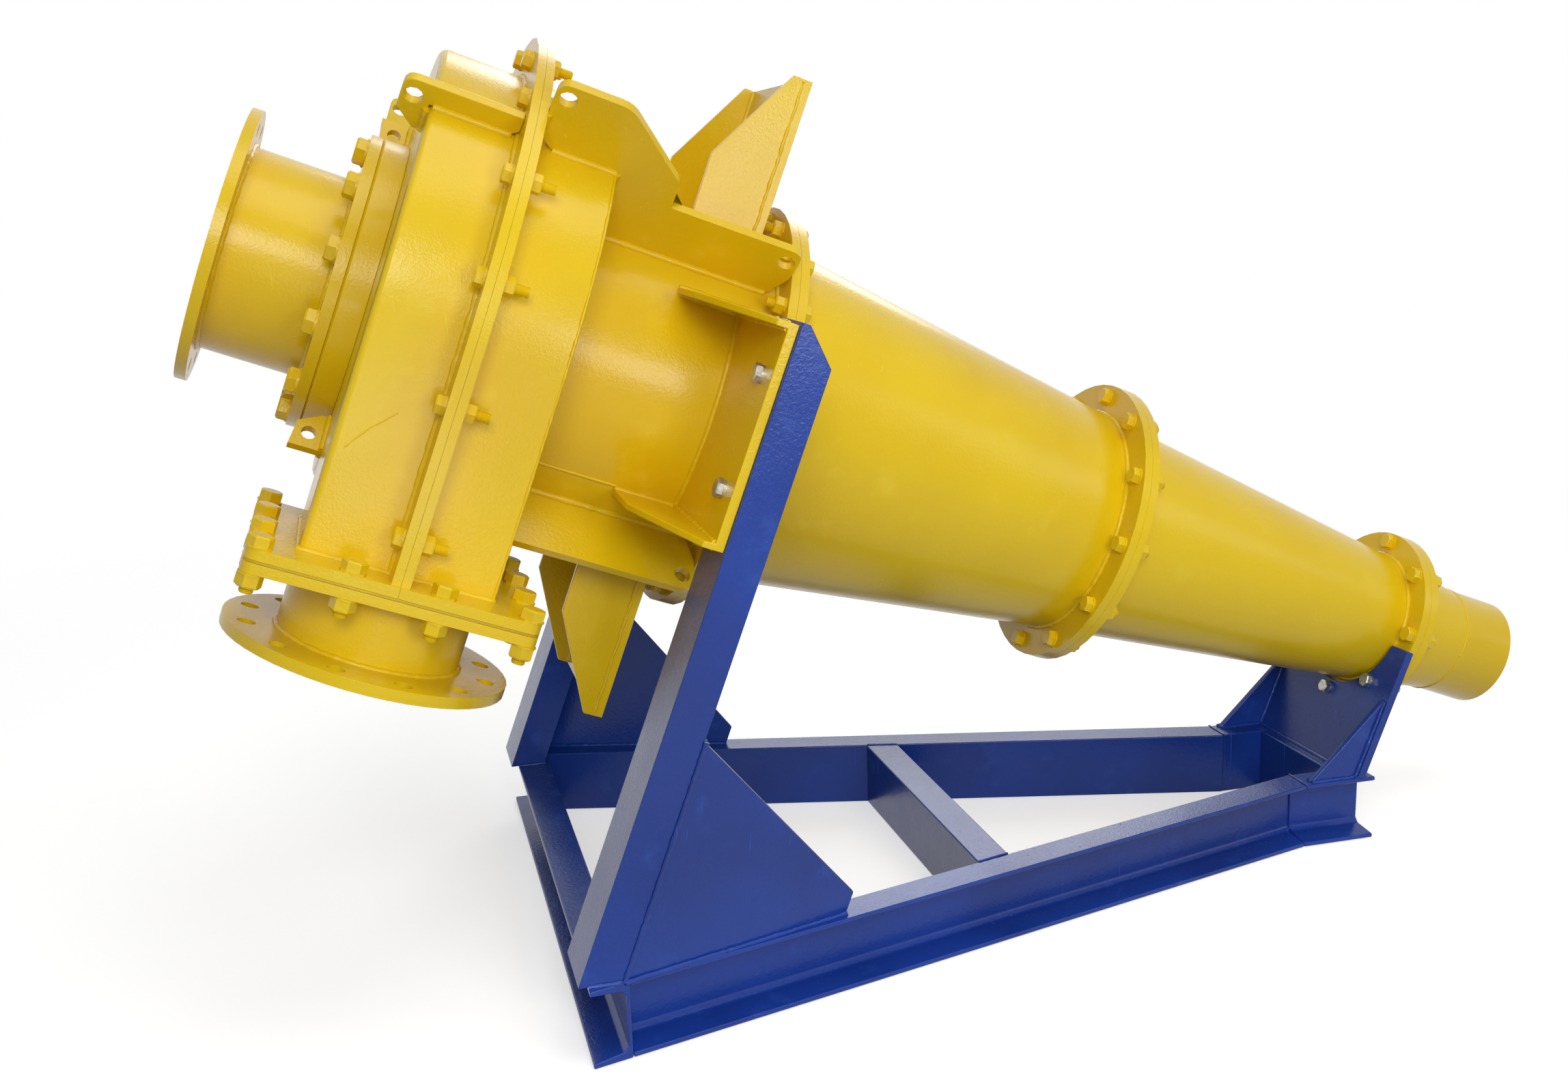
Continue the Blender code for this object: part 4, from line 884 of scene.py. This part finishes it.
def feedRingPath(radius, depth, steps=72):
    points = []
    for step in range(steps):
        turn = 2 * math.pi * step / steps
        along = feed["station"] + radius * math.cos(turn)
        points.append(place(along, -depth, feed["side"] + radius * math.sin(turn)))
    return points, True


def plateBase(angle, thickness, spots):
    # Both sides of a radial plate, along (station, radius) spots at its base
    half = thickness / 2 + 0.001
    paths = []
    for side in (-half, half):
        paths.append(([radialSpot(station, radius, angle, side) for station, radius in spots], False))
    return paths


# Radii under the beads, the angles of the long seams, and how far a bead's path stands off the plate
shells = {
    "overflow": 0.1325,
    "barrel": 0.2392,
    "barrelSeam": math.radians(121.4),
    "barrelSeamEnd": 0.545,
    "upperConeEnd": 0.1680,
    "lowerConeTop": 0.1655,
    "lowerConeEnd": 0.1048,
    "spigotTop": 0.1015,
    "spigot": 0.0832,
    "spigotSeam": math.radians(96),
    "proud": 0.0008,
    "standOff": 0.0006,
}
barrelRadius = shells["barrel"]
proud = shells["proud"]
standOff = shells["standOff"]
turnedWelds = [
    ringPath(stations["overflowFlange"] + 0.0005, shells["overflow"]),
    ringPath(stations["adapter"] - 0.0005, shells["overflow"]),
    ringPath(scroll["floor"] + proud, barrelRadius + proud),
    ringPath(headLeft - proud, barrelRadius + proud),
    ringPath(stations["coneTop"] + flanges["headThickness"] + proud, barrelRadius + proud / 2),
    ringPath(stations["midLeft"] - proud, shells["upperConeEnd"]),
    ringPath(stations["midRight"] + proud, shells["lowerConeTop"]),
    ringPath(stations["lowLeft"] - proud, shells["lowerConeEnd"]),
    ringPath(stations["lowRight"] + proud, shells["spigotTop"]),
]
turnedWelds += [feedRingPath(feed["pipeWeld"], depth) for depth in feed["pipeWeldDepths"]]
weldSet("flange_welds", turnedWelds, "yellow_paint")
weldSet("spigot_seam", [ringPath(stations["spigotSeam"], shells["spigot"])], "yellow_paint")

lipLeft = scroll["split"] - scroll["lipThickness"] - standOff
lipRight = scroll["split"] + scroll["splitGap"] + scroll["lipThickness"] + standOff
scrollWelds = [(scrollPath(station, standOff, scroll["rear"]), False) for station in (lipLeft, lipRight)]
ductEnd = -scroll["reach"] + 0.0005
ductCorners = [
    (scroll["roof"], -scroll["front"]),
    (scroll["floor"], -scroll["front"]),
    (scroll["floor"], -scroll["rear"]),
    (scroll["roof"], -scroll["rear"]),
]
scrollWelds.append(([place(station, ductEnd, side) for station, side in ductCorners], True))
weldSet("scroll_welds", scrollWelds, "yellow_paint")
ridge = ((0.2089, -0.1535), (0.2287, -0.1262), (0.2540, -0.0997))
paintMarks = [([place(station, up, -scroll["front"] + 0.0004) for station, up in ridge], False)]
weldSet("paint_marks", paintMarks, "yellow_paint")
barrelLine = (scroll["floor"], shells["barrelSeamEnd"])
spigotLine = (stations["lowRight"], stations["spigotSeam"])
seams = [
    (scrollPath(scroll["floor"] - proud, -proud, scroll["rear"]), False),
    ([radialSpot(station, barrelRadius, shells["barrelSeam"]) for station in barrelLine], False),
    ([radialSpot(station, shells["spigot"], shells["spigotSeam"]) for station in spigotLine], False),
]
weldSet("plate_seams", seams, "yellow_paint")

# Plates at 45 degrees, front (1) and back (-1), stand on the scroll's wall there and on the barrel
lug = {
    "angle": lugCut["angle"],
    "thickness": 0.012,
    "scrollWall": {1: 0.3423, -1: 0.2981},
    "roofRun": (0.038, 0.006),
    "wallRuns": ((scroll["roof"] + 0.004, 0.2900), (0.3400, scroll["floor"])),
    "lipStation": 0.3202,
    "lipRun": (0.020, 0.050),
    "floorFoot": 0.2600,
    "lowFloorFoot": 0.250,
    "barrelRun": (0.4390, 0.6560),
    "ears": (math.radians(140), math.radians(-30)),
    "earRun": (0.2065, 0.2565),
}


def lugLine(angle, spots):
    return plateBase(angle, lug["thickness"], spots)


lugWelds = []
floorFace = scroll["floor"] + 0.0005
barrelRun = [(station, barrelRadius) for station in lug["barrelRun"]]
for side in (1, -1):
    angle = side * lug["angle"]
    wall = lug["scrollWall"][side]
    lugWelds += lugLine(angle, [(scroll["roof"] - 0.001, wall - inset) for inset in lug["roofRun"]])
    for run in lug["wallRuns"]:
        lugWelds += lugLine(angle, [(station, wall) for station in run])
    lugWelds += lugLine(angle, [(floorFace, wall), (floorFace, lug["floorFoot"])])
    lugWelds += lugLine(angle, barrelRun)
    lugWelds += lugLine(angle, [(lug["lipStation"], wall + rise) for rise in lug["lipRun"]])
    lugWelds += lugLine(math.pi - angle, barrelRun)
    lugWelds += lugLine(math.pi - angle, [(floorFace, lug["floorFoot"]), (floorFace, lug["lowFloorFoot"])])
for earAngle in lug["ears"]:
    lugWelds += lugLine(earAngle, [(scroll["roof"] - 0.0005, radius) for radius in lug["earRun"]])
weldSet("lug_welds", lugWelds, "yellow_paint")

bracketWelds = []
plateJoints = []
innerSide, outerSide = bracket["innerSide"], bracket["outerSide"]
innerFoot = math.sqrt(barrelRadius**2 - innerSide**2)
outerFoot = math.sqrt(barrelRadius**2 - outerSide**2)
innerTurn = math.asin(innerSide / barrelRadius)
outerRun = (bracket["gussetStart"], bracket["outerEnd"])
innerRun = (bracket["gussetStart"], bracket["innerEnd"])
for quarter in range(4):
    angle = quarter * quarterTurn
    for station in (bracket["left"] - standOff, bracket["right"] + standOff):
        bracketWelds.append(arcPath(station, barrelRadius + standOff, angle - innerTurn, angle + innerTurn))
    for side in (-1, 1):
        outerLine = [radialSpot(station, outerFoot, angle, side * outerSide) for station in outerRun]
        innerLine = [radialSpot(station, innerFoot, angle, side * innerSide) for station in innerRun]
        cornerRun = (innerFoot, bracket["plateReach"])
        corner = [radialSpot(bracket["left"], reach, angle, side * innerSide) for reach in cornerRun]
        bracketWelds += [(outerLine, False), (innerLine, False), (corner, False)]
        jointRun = (outerFoot + bracket["jointStart"], bracket["plateReach"])
        joint = [radialSpot(bracket["left"], reach, angle, side * outerSide) for reach in jointRun]
        plateJoints.append((joint, False))
weldSet("bracket_welds", bracketWelds, "yellow_paint")
weldSet("bracket_joints", plateJoints, "yellow_paint")

# Lengths along the floor from the overflow's end, half widths from the middle, and heights
stand = {
    "left": 0.363,
    "leftHalf": 0.457,
    "bend": 1.508,
    "rightHalf": 0.1485,
    "top": 0.100,
    "flange": 0.050,
    "webInset": 0.0447,
    "webLevels": (0.088, 0.012),
    "lowFlange": 0.0065,
    "middleJoint": ((0.932, 0.931), (0.980, 0.981)),
    "middleInset": 0.0520,
    "footLeft": 0.3510,
    "footRight": 0.4046,
    "footInner": 0.345,
    "footOuter": 0.445,
    "footRound": 0.012,
    "gussetThickness": 0.010,
    "gussetEnd": 0.7109,
    "gussetInset": 0.014,
    "gussetHeight": 0.308,
    "saddleLeft": 1.5955,
    "saddleRight": 1.6090,
    "saddleHalf": 0.148,
    "saddleGussetStart": 1.520,
    "saddleGussetSide": 0.1415,
    "saddleGussetHeight": 0.125,
}


def beamSide(along):
    share = (along - stand["left"]) / (stand["bend"] - stand["left"])
    return stand["leftHalf"] + (stand["rightHalf"] - stand["leftHalf"]) * share


standWelds = []
standSeams = []
top = stand["top"] + standOff
behind = stand["gussetThickness"] + 0.001
for side in (-1, 1):
    footStart = stand["footLeft"] + stand["footRound"]
    foot = [
        (footStart, stand["footInner"]),
        (stand["footRight"], stand["footInner"]),
        (stand["footRight"], stand["footOuter"]),
        (footStart, stand["footOuter"]),
    ]
    standWelds.append(([onStand(along, side * aside, top) for along, aside in foot], False))
    gussetStart = (stand["footRight"] + 0.002, stand["footOuter"])
    gussetFar = (stand["gussetEnd"], beamSide(stand["gussetEnd"]) - stand["gussetInset"])
    for inset in (-0.001, behind):
        line = [onStand(along, side * (aside - inset), top) for along, aside in (gussetStart, gussetFar)]
        standWelds.append((line, False))
    for inset in (-0.0005, behind):
        corner = onStand(gussetStart[0], side * (stand["footOuter"] - inset), top)
        standWelds.append(([corner, corner + upWay * stand["gussetHeight"]], False))
    bendSide = stand["rightHalf"]
    across = [onStand(stand["bend"], side * aside, top) for aside in (bendSide, bendSide - stand["flange"])]
    webSide = side * (bendSide - stand["webInset"])
    down = [onStand(stand["bend"], webSide, level) for level in stand["webLevels"]]
    down.append(onStand(stand["bend"], side * bendSide, stand["lowFlange"]))
    standSeams += [(across, False), (down, False)]
    for inset in (-0.0005, stand["gussetThickness"] + 0.0005):
        aside = stand["saddleGussetSide"] - inset
        footRun = (stand["saddleGussetStart"], stand["saddleLeft"])
        footLine = [onStand(along, side * aside, top) for along in footRun]
        climb = [footLine[1], footLine[1] + upWay * stand["saddleGussetHeight"]]
        standWelds += [(footLine, False), (climb, False)]
    joint = []
    for along, meeting in stand["middleJoint"]:
        joint.append(onStand(along, side * (beamSide(meeting) - stand["middleInset"]), top))
    standSeams.append((joint, False))
for along in (stand["saddleLeft"], stand["saddleRight"]):
    run = [onStand(along, aside, top) for aside in (-stand["saddleHalf"], stand["saddleHalf"])]
    standWelds.append((run, False))
weldSet("stand_welds", standWelds, "blue_paint")
weldSet("stand_seams", standSeams, "blue_paint")
print("welds made")

# Floor, light and camera
studio = {
    "skyGlow": 0.26,
    "floorColour": (0.86, 0.86, 0.86, 1),
    "floorBounce": (0.36, 0.36, 0.36, 1),
    "floorLift": 0.50,
    "floorReach": 30.0,
    "floorDrop": 0.001,
    "floorFade": (1.2, 3.6),
    "lampAim": (0, 0, 0.6),
    "lamps": (
        ("frontLamp", (-0.9, -3.6, 2.2), 1.3, 50.0),
        ("bandLamp", (0.30, -2.75, 1.02), 0.6, 13.0),
        ("flashLamp", (-0.72, -2.6, 0.42), 0.36, 3.2),
        ("topLamp", (0.7, -1.2, 4.4), 2.6, 52.0),
        ("rightLamp", (4.0, -2.6, 2.0), 1.6, 12.0),
        ("backLamp", (1.5, 4.2, 3.0), 2.4, 58.0),
    ),
}


def backgroundRays(tree):
    # One for the rays that show the background: seen straight, mirrored or through something clear
    path = addNode(tree, "ShaderNodeLightPath").outputs
    plain = addNode(
        tree,
        "ShaderNodeMath",
        {"operation": "MAXIMUM"},
        {0: path["Is Camera Ray"], 1: path["Is Glossy Ray"]},
    )
    seen = addNode(
        tree,
        "ShaderNodeMath",
        {"operation": "MAXIMUM"},
        {0: plain.outputs[0], 1: path["Is Transmission Ray"]},
    )
    return seen.outputs[0]


def makeWorld():
    world = bpy.data.worlds.new("studioWorld")
    bpy.context.scene.world = world
    world.use_nodes = True
    tree = world.node_tree
    tree.nodes.clear()
    glow = addNode(tree, "ShaderNodeBackground", None, {"Color": (1, 1, 1, 1), "Strength": studio["skyGlow"]})
    white = addNode(tree, "ShaderNodeBackground", None, {"Color": (1, 1, 1, 1), "Strength": 1.0})
    mixed = addNode(
        tree,
        "ShaderNodeMixShader",
        None,
        {0: backgroundRays(tree), 1: glow.outputs[0], 2: white.outputs[0]},
    )
    addNode(tree, "ShaderNodeOutputWorld", None, {0: mixed.outputs[0]})


def makeFloor():
    # Pale floor that fades to white away from the part, so that no horizon shows
    mesh = bpy.data.meshes.new("floor")
    reach = studio["floorReach"]
    corners = [(-reach, -reach, 0), (reach, -reach, 0), (reach, reach, 0), (-reach, reach, 0)]
    mesh.from_pydata(corners, [], [(0, 1, 2, 3)])
    floor = bpy.data.objects.new("floor", mesh)
    bpy.context.scene.collection.objects.link(floor)
    floor.location.z = -studio["floorDrop"]
    material = bpy.data.materials.new("paleFloor")
    material.use_nodes = True
    tree = material.node_tree
    tree.nodes.clear()
    where = addNode(tree, "ShaderNodeTexCoord").outputs["Object"]
    away = addNode(tree, "ShaderNodeVectorMath", {"operation": "LENGTH"}, {0: where})
    near, far = studio["floorFade"]
    fade = addNode(
        tree,
        "ShaderNodeMapRange",
        {"interpolation_type": "SMOOTHSTEP"},
        {"Value": away.outputs[1], "From Min": near, "From Max": far},
    )
    seen = backgroundRays(tree)
    shown = addNode(tree, "ShaderNodeMath", {"operation": "MULTIPLY"}, {0: fade.outputs[0], 1: seen})
    lift = addNode(tree, "ShaderNodeMath", {"operation": "MULTIPLY"}, {0: seen, 1: studio["floorLift"]})
    shade = addNode(
        tree,
        "ShaderNodeMix",
        {"data_type": "RGBA"},
        {0: seen, 6: studio["floorBounce"], 7: studio["floorColour"]},
    )
    matt = addNode(tree, "ShaderNodeBsdfDiffuse", None, {"Color": shade.outputs[2]})
    lifting = addNode(tree, "ShaderNodeEmission", None, {"Color": (1, 1, 1, 1), "Strength": lift.outputs[0]})
    lifted = addNode(tree, "ShaderNodeAddShader", None, {0: matt.outputs[0], 1: lifting.outputs[0]})
    white = addNode(tree, "ShaderNodeEmission", None, {"Color": (1, 1, 1, 1), "Strength": 1.0})
    mixed = addNode(
        tree, "ShaderNodeMixShader", None, {0: shown.outputs[0], 1: lifted.outputs[0], 2: white.outputs[0]}
    )
    addNode(tree, "ShaderNodeOutputMaterial", None, {0: mixed.outputs[0]})
    mesh.materials.append(material)


def makeLamps():
    for name, spot, size, power in studio["lamps"]:
        data = bpy.data.lights.new(name, "AREA")
        data.shape = "SQUARE"
        data.size = size
        data.energy = power
        lamp = bpy.data.objects.new(name, data)
        bpy.context.scene.collection.objects.link(lamp)
        lamp.location = spot
        lamp.rotation_mode = "QUATERNION"
        lamp.rotation_quaternion = (Vector(studio["lampAim"]) - lamp.location).to_track_quat("-Z", "Y")


# Where the photograph was taken from, in the part's own lengths
cameraFit = {
    "spot": (0.1597, -2.2085, 1.0214),
    "yaw": 0.2542,
    "pitch": -0.2198,
    "roll": -0.0301,
    "lens": 37.28,
    "sensor": 36.0,
}


def makeCamera():
    data = bpy.data.cameras.new("camera")
    data.sensor_width = cameraFit["sensor"]
    data.lens = cameraFit["lens"]
    camera = bpy.data.objects.new("camera", data)
    bpy.context.scene.collection.objects.link(camera)
    yaw, pitch, roll = cameraFit["yaw"], cameraFit["pitch"], cameraFit["roll"]
    flat = Vector((math.sin(yaw), math.cos(yaw), 0))
    forward = flat * math.cos(pitch) + Vector((0, 0, math.sin(pitch)))
    level = Vector((math.cos(yaw), -math.sin(yaw), 0))
    rise = Vector((0, 0, math.cos(pitch))) - flat * math.sin(pitch)
    right = level * math.cos(roll) + rise * math.sin(roll)
    upright = rise * math.cos(roll) - level * math.sin(roll)
    turn = Matrix((right, upright, -forward)).transposed().to_4x4()
    spot = Vector(cameraFit["spot"]) - Vector((pose["planShift"], 0, 0))
    camera.matrix_world = Matrix.Translation(spot) @ turn
    bpy.context.scene.camera = camera


makeWorld()
makeFloor()
makeLamps()
makeCamera()
bpy.context.scene.view_settings.view_transform = "Standard"
print("studio made")
